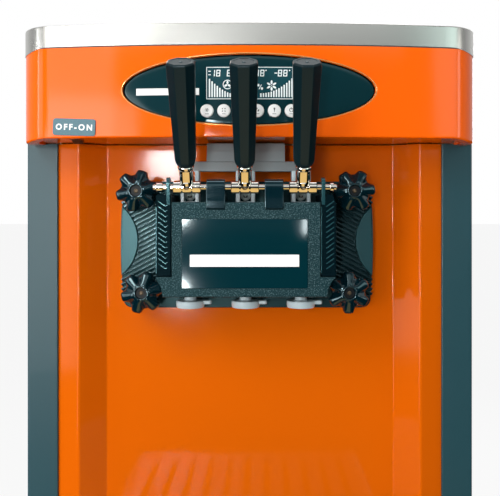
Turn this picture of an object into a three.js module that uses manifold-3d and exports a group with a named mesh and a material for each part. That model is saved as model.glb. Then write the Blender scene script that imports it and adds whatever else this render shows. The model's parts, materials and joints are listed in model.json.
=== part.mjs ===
// Floor-standing soft-serve ice cream machine with two flavours and a twist, for three.js.
//
// Millimetres, +Z up. X runs to the user's right and Y from the front to the back. While it is
// built, Y is measured from the middle of the hood's front. The finished machine is then moved
// along Y, so that its origin lies on the floor under the middle of its whole depth.

import * as THREE from 'three';
import { mergeVertices } from 'three/addons/utils/BufferGeometryUtils.js';
import Module from 'manifold-3d';

const wasm = await Module();
wasm.setup();

// ---------------------------------------------------------------- driving dimensions

const gap = 0.3; // left between pieces that touch
const sheet = 2; // folded sheet metal

// Cabinet
const cabinetWidth = 540;
const cabinetDepth = 700; // from the middle of the hood's front to the back
const deckHeight = 1320; // top of the stainless deck
const bandHeight = 25; // the deck's down-turned edge
const bandWall = 1.5;
const bandInset = 0.6; // how far the band stands inside the hood's outline
const deckPlate = 3;
const hoodHeight = 105;
const hoodBow = 18; // how far the hood's middle stands before its corners
const hoodCorner = 31;
const hoodWall = 3;
const hoodReach = 130; // how far back the hood's sides run
const panelFoot = 112; // lower edge of every panel
const panelProud = 8; // how far the side panels stand out from the hood's sides
const columnFront = 84; // front face of the corner columns
const columnWidth = 38.3;
const columnCorner = 3;
const columnReturn = 3; // the column's inner flange, front to back

// Folded front panel: the half-widths and depths of its folds, seen from above
const centreHalf = 182;
const centreDepth = 101;
const ridgeHalf = 212;
const ridgeDepth = 78;
const stripHalf = 246;
const stripDepth = 90;

// Chassis
const baseHeight = 104; // underside of the base plate
const basePlate = 6;
const postSize = 30;
const railHeight = 20;
const shelfDrop = 230; // from the hood's lower edge to the shelf's top
const shelfPlate = 4;

// Dispensing head
const headOffset = -4.5; // the head's middle, left of the cabinet's
const headDrop = 125; // from the hood's lower edge to the head's middle
const flangeWidth = 305;
const flangeHeight = 154;
const flangeFront = 60;
const flangeBack = 97;
const flangeCorner = 14;
const blockWidth = 199;
const blockHeight = 106;
const blockFront = -15;
const blockRise = -2; // the block's middle, above the head's
const blockEdge = 4;
const outletPitch = 65;
const pistonDepth = 33; // the pistons' axes, from the hood's front
const pistonRadius = 14.7;
const pistonFootRise = 8; // above the block's underside
const yokeWidth = 22.5;
const yokeDepth = 18;
const yokeRise = 37; // the yoke's top above the block's
const portRadius = 10;
const channelRadius = 5;
const labelWidth = 140;
const labelHeight = 77;
const labelPlate = 1;
const labelSink = 0.5; // how deep the label's seat is

// Pivot rod and levers
const rodRadius = 3.5;
const rodLength = 206;
const rodDepth = -8;
const rodRise = 16.5; // above the block's top
const lugOffset = outletPitch / 2; // the lugs stand midway between the levers
const lugWidth = 21;
const lugRadius = 10.5;
const lugDrop = 9; // how far the lugs lap the block's front
const endLugReach = 21; // from the outer levers to the end lugs
const endLugOffset = outletPitch + endLugReach;
const endLugWidth = 4.5;
const leverLean = 28; // degrees forward of upright, at rest
const leverTee = 31;
const leverTeeRadius = 7;
const stemRadius = 7.8;
const stemLength = 28;
const tangRadius = 4.5;
const tangReach = 70;
const armLength = 41;
const armAngle = -12; // degrees above level, at rest
const armRadius = 2.5;
const ballRadius = 6;
const ballPlay = 1; // above and below the ball in its yoke
const gripLength = 118;
const gripFootWidth = 22.8;
const gripHeadWidth = 29.5;
const gripChin = 6;
const gripBevel = 2.5;

// Star knobs on their studs
const knobRadius = 26;
const knobValley = 17;
const knobLobes = 6;
const knobFront = 15;
const knobThickness = 22;
const knobHub = 11;
const studRadius = 5;
const upperKnobs = { offset: 126.7, rise: 64.4 };
const lowerKnobs = { offset: 120.6, rise: -54.1 };
const knobPocket = 29; // radius that the block is cut back to around a knob

// Nozzle caps
const capRadius = 16.6;
const capHeight = 8.5;
const capNeckRadius = 6.9;
const capNeckLength = 14;
const capDrop = 9; // from the block's underside to the cap's top
const capBore = 4.5;
const capTabReach = 8.5;
const capTabWidth = 9;
const capTabHeight = 4.5;

// Display
const ovalWidth = 287;
const ovalHeight = 78;
const ovalRise = 54; // its middle above the hood's lower edge
const ovalSink = 4.5; // behind the hood's surface
const ovalPlate = 4;
const ovalBevel = 5; // width of the sloping border
const ovalRing = 6; // wall of the seat behind the hood
const keyCount = 6;
const keyPitch = 19.2;
const keyRadius = 7.5;
const keyRise = 30.2; // above the hood's lower edge
const keyProud = 1;
const keyThickness = 7;
const boardWidth = 190;
const boardHeight = 58;
const boardPlate = 1.6;
const standoffLength = 14;
const standoffRadius = 3.5;

// Switch and its plate
const switchOffset = -206;
const switchDepth = 45;
const rockerWidth = 12;
const rockerLength = 20;
const rockerTilt = 8; // degrees
const switchPlateWidth = 50;
const switchPlateHeight = 19.4;
const switchPlateRise = 12.3;
const switchPlateOffset = -201;
const switchPlateThickness = 1;

// Bracket behind the levers
const bracketHalf = 47.2;
const bracketLipHalf = 62.4;
const bracketFold = 52;
const bracketLip = 46.5;
const bracketTop = 62;
const bracketShoulder = 11;
const bracketLipDrop = 23;
const bracketHeight = 35;

// Freezing cylinders, beaters and gearmotors
const barrelRadius = 56;
const barrelWall = 6;
const barrelBack = 430;
const barrelEnd = 5;
const barrelFlange = 3.4;
const beaterShaft = 8;
const beaterRadius = 48.5;
const beaterBlade = 7;
const beaterTurns = 1.5;
const gearboxFront = 436;
const gearboxDepth = 70;
const gearboxWidth = 104;
const gearboxHeight = 116;
const motorRadius = 50;
const motorLength = 140;
const socketDepth = 30;
const saddleSetbacks = [250, 60]; // in front of the cylinders' back ends
const saddleLength = 20;
const saddleHalf = 40;
const saddleDrop = 30; // from the cylinders' axes to the saddles' tips

// Hoppers
const hopperMargin = 8.7; // between each tub and the post beside it
const hopperFront = 215;
const hopperBack = 585;
const hopperDepth = 170; // below the deck's top
const hopperInset = 14; // from the machine's middle to each tub
const hopperWall = 2;
const hopperRim = 9;
const hopperCorner = 26;
const drainDepth = 250;
const drainRadius = 8.5;
const drainWall = 3.5;
const tubeWall = 3;
const tubeHead = 5; // the feed tube's collar beyond its wall
const tubeTop = 24; // below the deck
const lidPlate = 5;
const lidPlug = 2.5;
const lidRidge = 16;
const lidRidgeWidth = 22;
const lidRidgeLength = 110;

// Cooling plant on the base plate
const compressorX = -130;
const compressorY = 430;
const compressorRadius = 85;
const compressorHeight = 230;
const condenserWidth = 290;
const condenserHeight = 280;
const condenserFront = 550;
const condenserDepth = 44;
const condenserX = 95;
const fanRadius = 115;
const fanHub = 26;
const fanBlades = 5;
const fanThickness = 18;
const fanMotorRadius = 32;
const fanMotorLength = 42;
const fanShaft = 4;

// Drip tray on its two arms
const trayHeight = 700; // its underside above the floor
const trayHalf = 165;
const trayFront = -100;
const trayDepth = 34;
const trayWall = 2.5;
const trayLedge = 4;
const trayCorner = 16;
const grillePlate = 4;
const grilleDrop = 2; // below the tray's edge
const grilleSlots = 11;
const grilleSlotWidth = 8;
const armHalf = 120;
const armWidth = 16;
const armHeight = 12;
const armFront = -60;

// Castors
const wheelRadius = 37.5;
const wheelWidth = 30;
const wheelBore = 4;
const wheelShoulder = 4;
const castorTrail = 22;
const forkCheek = 3;
const forkCrown = 5;
const forkWidth = 42; // front to back
const kingpinRadius = 7;
const castorInset = 52; // from the cabinet's sides
const frontCastorDepth = 150;
const rearCastorDepth = 640;
const wheelFacets = 24;

// ---------------------------------------------------------------- derived places

const half = cabinetWidth / 2;
const bandBottom = deckHeight - bandHeight;
const hoodBottom = bandBottom - hoodHeight;
const bowX = half - hoodCorner;
const bowRadius = (bowX ** 2 + hoodBow ** 2) / (2 * hoodBow);
const cornerDepth = bowRadius - Math.sqrt((bowRadius - hoodCorner) ** 2 - bowX ** 2);
const sideFace = half + panelProud;
const skinInner = sideFace - sheet - gap; // how far out the plates reach to carry the side panels
const postOuter = half - hoodWall - gap;
const postInner = postOuter - postSize;
const hopperWidth = postInner - hopperMargin - hopperInset;
const frontPost = stripDepth + sheet + 2 * gap;
const backFace = cabinetDepth - sheet - gap;
const deckUnder = deckHeight - deckPlate;
const baseTop = baseHeight + basePlate;
const shelfTop = hoodBottom - shelfDrop;
const headZ = hoodBottom - headDrop;
const blockTop = headZ + blockRise + blockHeight / 2;
const blockFoot = blockTop - blockHeight;
const pistonFoot = blockFoot + pistonFootRise;
const rodZ = blockTop + rodRise;
const outlets = [-1, 0, 1].map((step) => headOffset + step * outletPitch);
const barrels = [
  { side: 'left', x: outlets[0], sign: -1 },
  { side: 'right', x: outlets[2], sign: 1 },
];
const ovalZ = hoodBottom + ovalRise;
const trayTop = trayHeight + trayDepth;
const radians = THREE.MathUtils.degToRad;

// Depth of the bowed hood front at a distance from the middle.
function bowDepth(x) {
  return bowRadius - Math.sqrt(bowRadius ** 2 - x ** 2);
}

// ---------------------------------------------------------------- solids

// Corners on a grid of a thousandth of a millimetre, so that faces meant to lie in one plane do.
// Triangles that vanish on the grid are left out.
function weld(geometry) {
  const loose = geometry.index ? geometry.toNonIndexed() : geometry.clone();
  loose.deleteAttribute('normal');
  loose.deleteAttribute('uv');
  const place = loose.getAttribute('position');
  for (let i = 0; i < place.array.length; i += 1) place.array[i] = Math.round(place.array[i] * 1e3) / 1e3;
  const welded = mergeVertices(loose, 1e-4);
  const corners = [];
  for (let i = 0; i < welded.index.count; i += 3) {
    const [p, q, r] = [0, 1, 2].map((step) => welded.index.getX(i + step));
    if (p !== q && q !== r && r !== p) corners.push(p, q, r);
  }
  welded.setIndex(corners);
  return welded;
}

// A closed solid from a closed geometry. A profile that was drawn the other way round gives an
// inside-out mesh, so the sign of its volume says which way its triangles are wound.
function solid(geometry) {
  const welded = weld(geometry);
  const place = welded.getAttribute('position');
  const corners = Array.from(welded.index.array);
  const at = (i) => new THREE.Vector3().fromBufferAttribute(place, corners[i]);
  let volume = 0;
  for (let i = 0; i < corners.length; i += 3) volume += at(i).dot(at(i + 1).cross(at(i + 2)));
  if (volume < 0) corners.reverse();
  return new wasm.Manifold(new wasm.Mesh({
    numProp: 3,
    vertProperties: new Float32Array(place.array),
    triVerts: new Uint32Array(corners),
  }));
}

function join(...solids) {
  return solids.flat().reduce((sum, next) => sum.add(next));
}

function cut(body, ...tools) {
  return tools.flat().reduce((rest, tool) => rest.subtract(tool), body);
}

function block(x0, x1, y0, y1, z0, z1) {
  const geometry = new THREE.BoxGeometry(x1 - x0, y1 - y0, z1 - z0);
  geometry.translate((x0 + x1) / 2, (y0 + y1) / 2, (z0 + z1) / 2);
  return solid(geometry);
}

// Turns a geometry made around Y so that its axis lies along the named one.
function turnFromY(geometry, axis) {
  if (axis === 'z') geometry.rotateX(Math.PI / 2);
  if (axis === 'x') geometry.rotateZ(-Math.PI / 2);
  return geometry;
}

// A round bar that starts at a point and runs along an axis.
function bar(axis, start, radius, length, segments = 16) {
  const geometry = new THREE.CylinderGeometry(radius, radius, length, segments);
  geometry.translate(0, length / 2, 0);
  return solid(turnFromY(geometry, axis).translate(...start));
}

// A turned shape: [radius, height] pairs around an axis, closed on the axis or on itself.
function turned(axis, start, profile, segments = 16) {
  const points = profile.map(([radius, height]) => new THREE.Vector2(radius, height));
  const geometry = new THREE.LatheGeometry(points, segments);
  return solid(turnFromY(geometry, axis).translate(...start));
}

// An outline carried along an axis. It is drawn as (x, y) for z, (x, z) for y and (y, z) for x.
function prism(axis, shape, from, to, curveSegments = 2) {
  const geometry = new THREE.ExtrudeGeometry(shape, {
    depth: to - from, bevelEnabled: false, curveSegments,
  });
  if (axis === 'z') geometry.translate(0, 0, from);
  if (axis === 'y') geometry.rotateX(Math.PI / 2).translate(0, to, 0);
  if (axis === 'x') {
    const turn = new THREE.Matrix4().makeBasis(
      new THREE.Vector3(0, 1, 0), new THREE.Vector3(0, 0, 1), new THREE.Vector3(1, 0, 0),
    );
    geometry.applyMatrix4(turn).translate(from, 0, 0);
  }
  return solid(geometry);
}

function polygon(points) {
  return new THREE.Shape(points.map(([u, v]) => new THREE.Vector2(u, v)));
}

function roundedRect(u, v, width, height, radius) {
  const [w, h] = [width / 2 - radius, height / 2 - radius];
  const shape = new THREE.Shape();
  shape.absarc(u + w, v + h, radius, 0, Math.PI / 2);
  shape.absarc(u - w, v + h, radius, Math.PI / 2, Math.PI);
  shape.absarc(u - w, v - h, radius, Math.PI, 1.5 * Math.PI);
  shape.absarc(u + w, v - h, radius, 1.5 * Math.PI, 2 * Math.PI);
  shape.closePath();
  return shape;
}

function ellipse(u, v, width, height) {
  const shape = new THREE.Shape();
  shape.absellipse(u, v, width / 2, height / 2, 0, 2 * Math.PI);
  return shape;
}

// A skin over rings of as many points each, closed by a fan over the first and the last ring.
function loft(rings) {
  const count = rings[0].length;
  const middle = (ring) => ring
    .reduce((sum, point) => sum.add(point), new THREE.Vector3())
    .divideScalar(count);
  const corners = [];
  const first = middle(rings[0]);
  const last = middle(rings.at(-1));
  for (let i = 0; i < count; i += 1) {
    const next = (i + 1) % count;
    corners.push(first, rings[0][next], rings[0][i]);
    corners.push(last, rings.at(-1)[i], rings.at(-1)[next]);
    for (let k = 0; k + 1 < rings.length; k += 1) {
      const [low, high] = [rings[k], rings[k + 1]];
      corners.push(low[i], low[next], high[next]);
      corners.push(low[i], high[next], high[i]);
    }
  }
  return solid(new THREE.BufferGeometry().setFromPoints(corners));
}

// ---------------------------------------------------------------- finishes

function finish(color, roughness, metalness = 0) {
  return new THREE.MeshStandardMaterial({ color, roughness, metalness });
}

const orangePaint = finish(0xf2600a, 0.3);
const columnPaint = finish(0x2c4750, 0.45);
const stainless = finish(0xc9cbc8, 0.3, 1);
const chrome = finish(0xe4e2dc, 0.12, 1);
const zincSteel = finish(0x9aa0a3, 0.5, 0.8);
const blackPlastic = finish(0x16242a, 0.45);
const glossBlack = finish(0x0a1c22, 0.15);
const greyPlastic = finish(0xb4c2c8, 0.5);
const whiteKey = finish(0xeef2f2, 0.4);
const boardGreen = finish(0x1c5a3a, 0.6);
const castIron = finish(0x2b2e30, 0.6, 0.3);
const rubber = finish(0x3a3d40, 0.8);
const slatePlate = finish(0x3a5560, 0.4);

const machine = new THREE.Group();

// Adds a solid to a group as a named mesh.
function add(name, body, material, group = machine) {
  const { numProp, vertProperties, triVerts } = body.getMesh();
  const geometry = new THREE.BufferGeometry();
  const place = new THREE.BufferAttribute(new Float32Array(vertProperties), numProp);
  geometry.setAttribute('position', place);
  geometry.setIndex(new THREE.BufferAttribute(new Uint32Array(triVerts), 1));
  const mesh = new THREE.Mesh(weld(geometry), material);
  mesh.name = name;
  group.add(mesh);
  return mesh;
}

// ---------------------------------------------------------------- castors

// A castor's fork around an axle that runs along X at the given place.
function castorFork(axleX, axleY, crownY) {
  const cheekX = wheelWidth / 2 + 2;
  const outer = cheekX + forkCheek;
  const top = baseHeight - gap;
  const crown = block(axleX - outer, axleX + outer, crownY - forkWidth / 2,
    Math.max(crownY, axleY) + forkWidth / 2, top - forkCrown, top);
  const cheek = polygon([
    [axleY - 12, wheelRadius - 12],
    [axleY + 12, wheelRadius - 12],
    [Math.max(crownY, axleY) + forkWidth / 2, top - forkCrown + 1],
    [crownY - forkWidth / 2, top - forkCrown + 1],
  ]);
  const cheeks = [-outer, cheekX].map((x) => prism('x', cheek, axleX + x, axleX + x + forkCheek));
  const axle = bar('x', [axleX - outer, axleY, wheelRadius], wheelBore, 2 * outer, 12);
  return join(crown, cheeks, axle);
}

// A wheel with one flat of its tread on the floor.
function castorWheel() {
  const tread = wheelRadius / Math.cos(Math.PI / wheelFacets);
  const bore = wheelBore + gap;
  const side = wheelWidth / 2;
  const profile = [
    [bore, -side], [tread - wheelShoulder, -side], [tread, -side + wheelShoulder],
    [tread, side - wheelShoulder], [tread - wheelShoulder, side], [bore, side], [bore, -side],
  ];
  const points = profile.map(([radius, height]) => new THREE.Vector2(radius, height));
  const geometry = new THREE.LatheGeometry(points, wheelFacets, Math.PI / wheelFacets);
  return solid(turnFromY(geometry, 'x'));
}

function addCastors() {
  const castorX = half - castorInset;
  for (const [side, sign] of [['left', -1], ['right', 1]]) {
    const swivel = new THREE.Group();
    swivel.position.set(sign * castorX, frontCastorDepth, 0);
    const pin = bar('z', [0, 0, baseHeight - gap - 1], kingpinRadius, basePlate + 8);
    const fork = join(castorFork(0, castorTrail, 0), pin);
    add(`castor_fork_front_${side}`, fork, zincSteel, swivel);
    const front = add(`castor_wheel_front_${side}`, castorWheel(), rubber, swivel);
    front.position.set(0, castorTrail, wheelRadius);
    machine.add(swivel);
    const rear = add(`castor_wheel_rear_${side}`, castorWheel(), rubber);
    rear.position.set(sign * castorX, rearCastorDepth, wheelRadius);
  }
}

// ---------------------------------------------------------------- chassis and panels

function chassis() {
  const parts = [
    block(-skinInner, skinInner, frontPost, backFace, baseHeight, baseTop),
    block(-skinInner, skinInner, frontPost + postSize, backFace, shelfTop - shelfPlate, shelfTop),
  ];
  const postTop = deckUnder - gap;
  const railFoot = postTop - railHeight;
  for (const sign of [-1, 1]) {
    const [x0, x1] = sign < 0 ? [-postOuter, -postInner] : [postInner, postOuter];
    parts.push(block(x0, x1, frontPost, frontPost + postSize, baseTop - 1, postTop));
    parts.push(block(x0, x1, backFace - postSize, backFace, baseTop - 1, postTop));
    parts.push(block(x0, x1, frontPost, backFace, railFoot, postTop));
    const castorX = sign * (half - castorInset);
    parts.push(castorFork(castorX, rearCastorDepth, rearCastorDepth));
    const plate = [rearCastorDepth - forkWidth / 2, rearCastorDepth + forkWidth / 2];
    const plateX = forkWidth / 2;
    parts.push(block(castorX - plateX, castorX + plateX, ...plate, baseHeight - gap - 1, baseHeight + 1));
    const armX = headOffset + sign * armHalf;
    parts.push(block(armX - armWidth / 2, armX + armWidth / 2, armFront, frontPost + postSize,
      trayHeight - gap - armHeight, trayHeight - gap));
  }
  parts.push(block(-postOuter, postOuter, frontPost, frontPost + postSize, railFoot, postTop));
  parts.push(block(-postOuter, postOuter, backFace - postSize, backFace, railFoot, postTop));
  // The cross bar that carries the tray's arms
  parts.push(block(-postOuter, postOuter, frontPost + 14, frontPost + postSize,
    trayHeight - gap - armHeight, trayHeight - gap));
  for (const barrel of barrels) {
    for (const setback of saddleSetbacks) {
      const depth = barrelBack - setback;
      const saddle = block(barrel.x - saddleHalf, barrel.x + saddleHalf, depth, depth + saddleLength,
        shelfTop - 1, headZ - saddleDrop);
      parts.push(cut(saddle, bar('y', [barrel.x, depth - 5, headZ], barrelRadius + gap,
        saddleLength + 10, 36)));
    }
  }
  const kingpins = [-1, 1].map((sign) => bar('z',
    [sign * (half - castorInset), frontCastorDepth, baseHeight - 1], kingpinRadius + gap, basePlate + 2));
  return cut(join(parts), kingpins);
}

// One side's panel seen from above: the column's return, its front, its corner and the side.
function sidePanel(sign) {
  const inner = sideFace - columnWidth;
  const bend = sideFace - columnCorner;
  const bendDepth = columnFront + columnCorner;
  const outline = (side) => {
    const shape = new THREE.Shape();
    const [start, end] = side > 0 ? [-Math.PI / 2, 0] : [-Math.PI / 2, -Math.PI];
    const clockwise = side < 0;
    shape.moveTo(side * inner, columnFront + columnReturn);
    shape.lineTo(side * inner, columnFront);
    shape.lineTo(side * bend, columnFront);
    shape.absarc(side * bend, bendDepth, columnCorner, start, end, clockwise);
    shape.lineTo(side * sideFace, backFace);
    shape.lineTo(side * (sideFace - sheet), backFace);
    shape.lineTo(side * (sideFace - sheet), bendDepth);
    shape.absarc(side * bend, bendDepth, columnCorner - sheet, end, start, !clockwise);
    shape.lineTo(side * (inner + sheet), columnFront + sheet);
    shape.lineTo(side * (inner + sheet), columnFront + columnReturn);
    shape.closePath();
    return shape;
  };
  const lower = prism('z', outline(sign), panelFoot, hoodBottom - gap);
  // A plate of the panel that runs inwards from its outer face to a distance from the middle.
  const plate = (reach, ...box) => {
    const [x0, x1] = [sign * sideFace, sign * reach].sort((a, b) => a - b);
    return block(x0, x1, ...box);
  };
  const back = hoodReach + gap;
  const top = bandBottom - gap;
  const upper = plate(sideFace - sheet, back, backFace, hoodBottom - 1, top);
  const ledges = [
    plate(postOuter + gap, columnFront, back + sheet, hoodBottom - gap - sheet, hoodBottom - gap),
    plate(postOuter + gap, back, backFace, top - sheet, top),
    plate(half + gap, back, back + sheet, hoodBottom - 1, top),
  ];
  return join(lower, upper, ...ledges);
}

function frontPanel() {
  const folds = [
    [-stripHalf, stripDepth], [-ridgeHalf, ridgeDepth], [-centreHalf, centreDepth],
    [centreHalf, centreDepth], [ridgeHalf, ridgeDepth], [stripHalf, stripDepth],
  ];
  const back = folds.map(([x, y]) => [x, y + sheet]).reverse();
  const panel = prism('z', polygon([...folds, ...back]), panelFoot, hoodBottom - 2 * gap);
  const holes = barrels.map(({ x }) => bar('y',
    [x, centreDepth - 5, headZ], barrelRadius + 2 * gap, sheet + 10, 36));
  const slots = [-1, 1].map((sign) => {
    const x = headOffset + sign * armHalf;
    return block(x - armWidth / 2 - gap, x + armWidth / 2 + gap, centreDepth - 5, centreDepth + sheet + 5,
      trayHeight - 2 * gap - armHeight, trayHeight);
  });
  return cut(panel, holes, slots);
}

// The rear panel runs down over the edge of the base plate.
function rearPanel() {
  const panel = block(-sideFace, sideFace, cabinetDepth - sheet, cabinetDepth, baseHeight, bandBottom - gap);
  const vents = [];
  for (let row = 0; row < 9; row += 1) {
    const z = baseTop + 45 + row * 27;
    vents.push(block(condenserX - 115, condenserX + 115, cabinetDepth - 10, cabinetDepth + 10, z, z + 10));
  }
  for (let row = 0; row < 4; row += 1) {
    const z = shelfTop + 80 + row * 27;
    vents.push(block(-150, 150, cabinetDepth - 10, cabinetDepth + 10, z, z + 10));
  }
  const gland = [-half + 70, cabinetDepth - 1, baseTop + 60];
  const ring = cut(bar('y', gland, 15, 13), bar('y', gland, 6, 20));
  const passage = bar('y', [gland[0], cabinetDepth - 5, gland[2]], 6, 8);
  return cut(join(cut(panel, vents), ring), passage);
}

// ---------------------------------------------------------------- hood and deck

// The bowed outline of the hood from above, drawn inside its outer edge by an inset.
function hoodOutline(inset, back) {
  const side = half - inset;
  const corner = hoodCorner - inset;
  const bow = bowRadius - inset;
  const turn = Math.asin(bowX / (bowRadius - hoodCorner));
  const down = -Math.PI / 2;
  const shape = new THREE.Shape();
  shape.moveTo(-side, back);
  shape.lineTo(-side, cornerDepth);
  shape.absarc(-bowX, cornerDepth, corner, Math.PI, 1.5 * Math.PI - turn);
  for (let step = 1; step < 12; step += 1) {
    const angle = down - turn + (2 * turn * step) / 12;
    shape.lineTo(bow * Math.cos(angle), bowRadius + bow * Math.sin(angle));
  }
  shape.absarc(bowX, cornerDepth, corner, down + turn, 0);
  shape.lineTo(side, back);
  shape.closePath();
  return shape;
}

function hood() {
  const top = bandBottom - gap;
  const shell = cut(
    prism('z', hoodOutline(0, hoodReach), hoodBottom, top),
    prism('z', hoodOutline(hoodWall, hoodReach + 10), hoodBottom - 5, top + 5),
  );
  const underside = cut(
    prism('z', hoodOutline(hoodWall - 1, centreDepth + sheet), hoodBottom, hoodBottom + hoodWall),
    block(postInner - gap, half, frontPost - gap, hoodReach, hoodBottom - 5, hoodBottom + 10),
    block(-half, -postInner + gap, frontPost - gap, hoodReach, hoodBottom - 5, hoodBottom + 10),
    block(switchOffset - rockerWidth / 2 - gap, switchOffset + rockerWidth / 2 + gap,
      switchDepth - rockerLength / 2 - 1.6, switchDepth + rockerLength / 2 + 1.6,
      hoodBottom - 5, hoodBottom + 10),
  );
  // A deeper seat rings the display behind the bowed wall.
  const seatBack = bowDepth(ovalWidth / 2) + ovalSink + ovalPlate;
  const seat = prism('y', ellipse(0, ovalZ, ovalWidth + 2 * ovalRing, ovalHeight + 2 * ovalRing),
    0, seatBack, 16).intersect(prism('z', hoodOutline(hoodWall - 1, hoodReach), hoodBottom, top));
  const hole = prism('y', ellipse(0, ovalZ, ovalWidth + 2 * gap, ovalHeight + 2 * gap), -10, seatBack + 5, 16);
  const bevel = ovalFunnel();
  return cut(join(shell, underside, seat), hole, bevel);
}

// The sloping border of the display: two ovals joined, each laid on the hood's bow.
function ovalFunnel() {
  const ring = (grow, depth) => Array.from({ length: 32 }, (_, step) => {
    const angle = (step / 32) * 2 * Math.PI;
    const x = (ovalWidth / 2 + grow) * Math.cos(angle);
    const z = ovalZ + (ovalHeight / 2 + grow) * Math.sin(angle);
    return new THREE.Vector3(x, bowDepth(x) + depth, z);
  });
  return loft([ring(ovalBevel + 1, -1), ring(gap, ovalSink)]);
}

function topDeck() {
  const band = cut(
    prism('z', hoodOutline(bandInset, cabinetDepth), bandBottom, deckHeight),
    prism('z', hoodOutline(bandInset + bandWall, cabinetDepth - bandWall), bandBottom - 5, deckUnder),
  );
  const mouths = barrels.map(({ sign }) => prism('z', hopperOutline(sign, gap), deckUnder - 5, deckHeight + 5));
  return cut(band, mouths);
}

// ---------------------------------------------------------------- display and switch

function keyPlaces() {
  return Array.from({ length: keyCount }, (_, step) => (step - (keyCount - 1) / 2) * keyPitch);
}

function displayPanel() {
  const back = bowDepth(ovalWidth / 2) + ovalSink + ovalPlate;
  const slab = prism('y', ellipse(0, ovalZ, ovalWidth, ovalHeight), -10, back, 16)
    .intersect(prism('z', hoodOutline(ovalSink, cabinetDepth / 2), hoodBottom, bandBottom));
  const reach = ovalSink + ovalPlate;
  const hollow = prism('y', ellipse(0, ovalZ, ovalWidth - 12, ovalHeight - 12), -10, back + 5, 12)
    .intersect(prism('z', hoodOutline(reach, cabinetDepth / 2), hoodBottom, bandBottom));
  const holes = keyPlaces().map((x) => bar('y', [x, -20, hoodBottom + keyRise], keyRadius + gap, 60, 16));
  const posts = standoffs().map(([x, z]) => bar('y', [x, reach - 1, z], standoffRadius, standoffLength + 1, 8));
  return join(cut(slab, hollow, holes), posts);
}

function standoffs() {
  const [x, z] = [boardWidth / 2 - 8, boardHeight / 2 - 6];
  return [[-x, ovalZ - z], [x, ovalZ - z], [-x, ovalZ + z], [x, ovalZ + z]];
}

function controlBoard() {
  const front = ovalSink + ovalPlate + standoffLength + gap;
  const plate = block(-boardWidth / 2, boardWidth / 2, front, front + boardPlate,
    ovalZ - boardHeight / 2, ovalZ + boardHeight / 2);
  const back = front + boardPlate - 0.5;
  const chips = [[-70, 26, 20, 12], [-20, 30, 30, 6], [40, 22, 24, 14], [76, 14, 30, 9]];
  return join(plate, chips.map(([x, width, height, depth]) => block(
    x - width / 2, x + width / 2, back, back + depth, ovalZ - height / 2, ovalZ + height / 2)));
}

function key() {
  return turned('y', [0, 0, 0], [
    [0, -keyProud], [keyRadius - 0.8, -keyProud], [keyRadius, -keyProud + 0.8],
    [keyRadius, keyThickness - keyProud], [0, keyThickness - keyProud],
  ], 16);
}

function addDisplay() {
  add('display_panel', displayPanel(), glossBlack);
  add('control_board', controlBoard(), boardGreen);
  keyPlaces().forEach((x, index) => {
    const mesh = add(`key_${index + 1}`, key(), whiteKey);
    mesh.position.set(x, bowDepth(x) + ovalSink, hoodBottom + keyRise);
  });
}

// A rocker seen from the side, with its two faces meeting over the pivot.
function rocker() {
  const [reach, tip] = [rockerLength / 2, 7];
  const side = polygon([[-reach, -tip], [0, -tip + 2], [reach, -tip], [reach, 3], [-reach, 3]]);
  return prism('x', side, -rockerWidth / 2, rockerWidth / 2);
}

function addSwitch() {
  const mesh = add('power_switch', rocker(), blackPlastic);
  mesh.position.set(switchOffset, switchDepth, hoodBottom + 5);
  mesh.rotation.x = radians(-rockerTilt);
  const plate = add('switch_plate', prism('y',
    roundedRect(0, 0, switchPlateWidth, switchPlateHeight, 1.5), -switchPlateThickness, 0), slatePlate);
  const slope = Math.asin(switchPlateOffset / bowRadius);
  plate.position.set(switchPlateOffset + gap * Math.sin(slope),
    bowDepth(switchPlateOffset) - gap * Math.cos(slope), hoodBottom + switchPlateRise);
  plate.rotation.z = slope;
}

// ---------------------------------------------------------------- dispensing head

function knobPlaces() {
  return [
    [-upperKnobs.offset, upperKnobs.rise], [upperKnobs.offset, upperKnobs.rise],
    [-lowerKnobs.offset, lowerKnobs.rise], [lowerKnobs.offset, lowerKnobs.rise],
  ].map(([x, z]) => [headOffset + x, headZ + z]);
}

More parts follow.
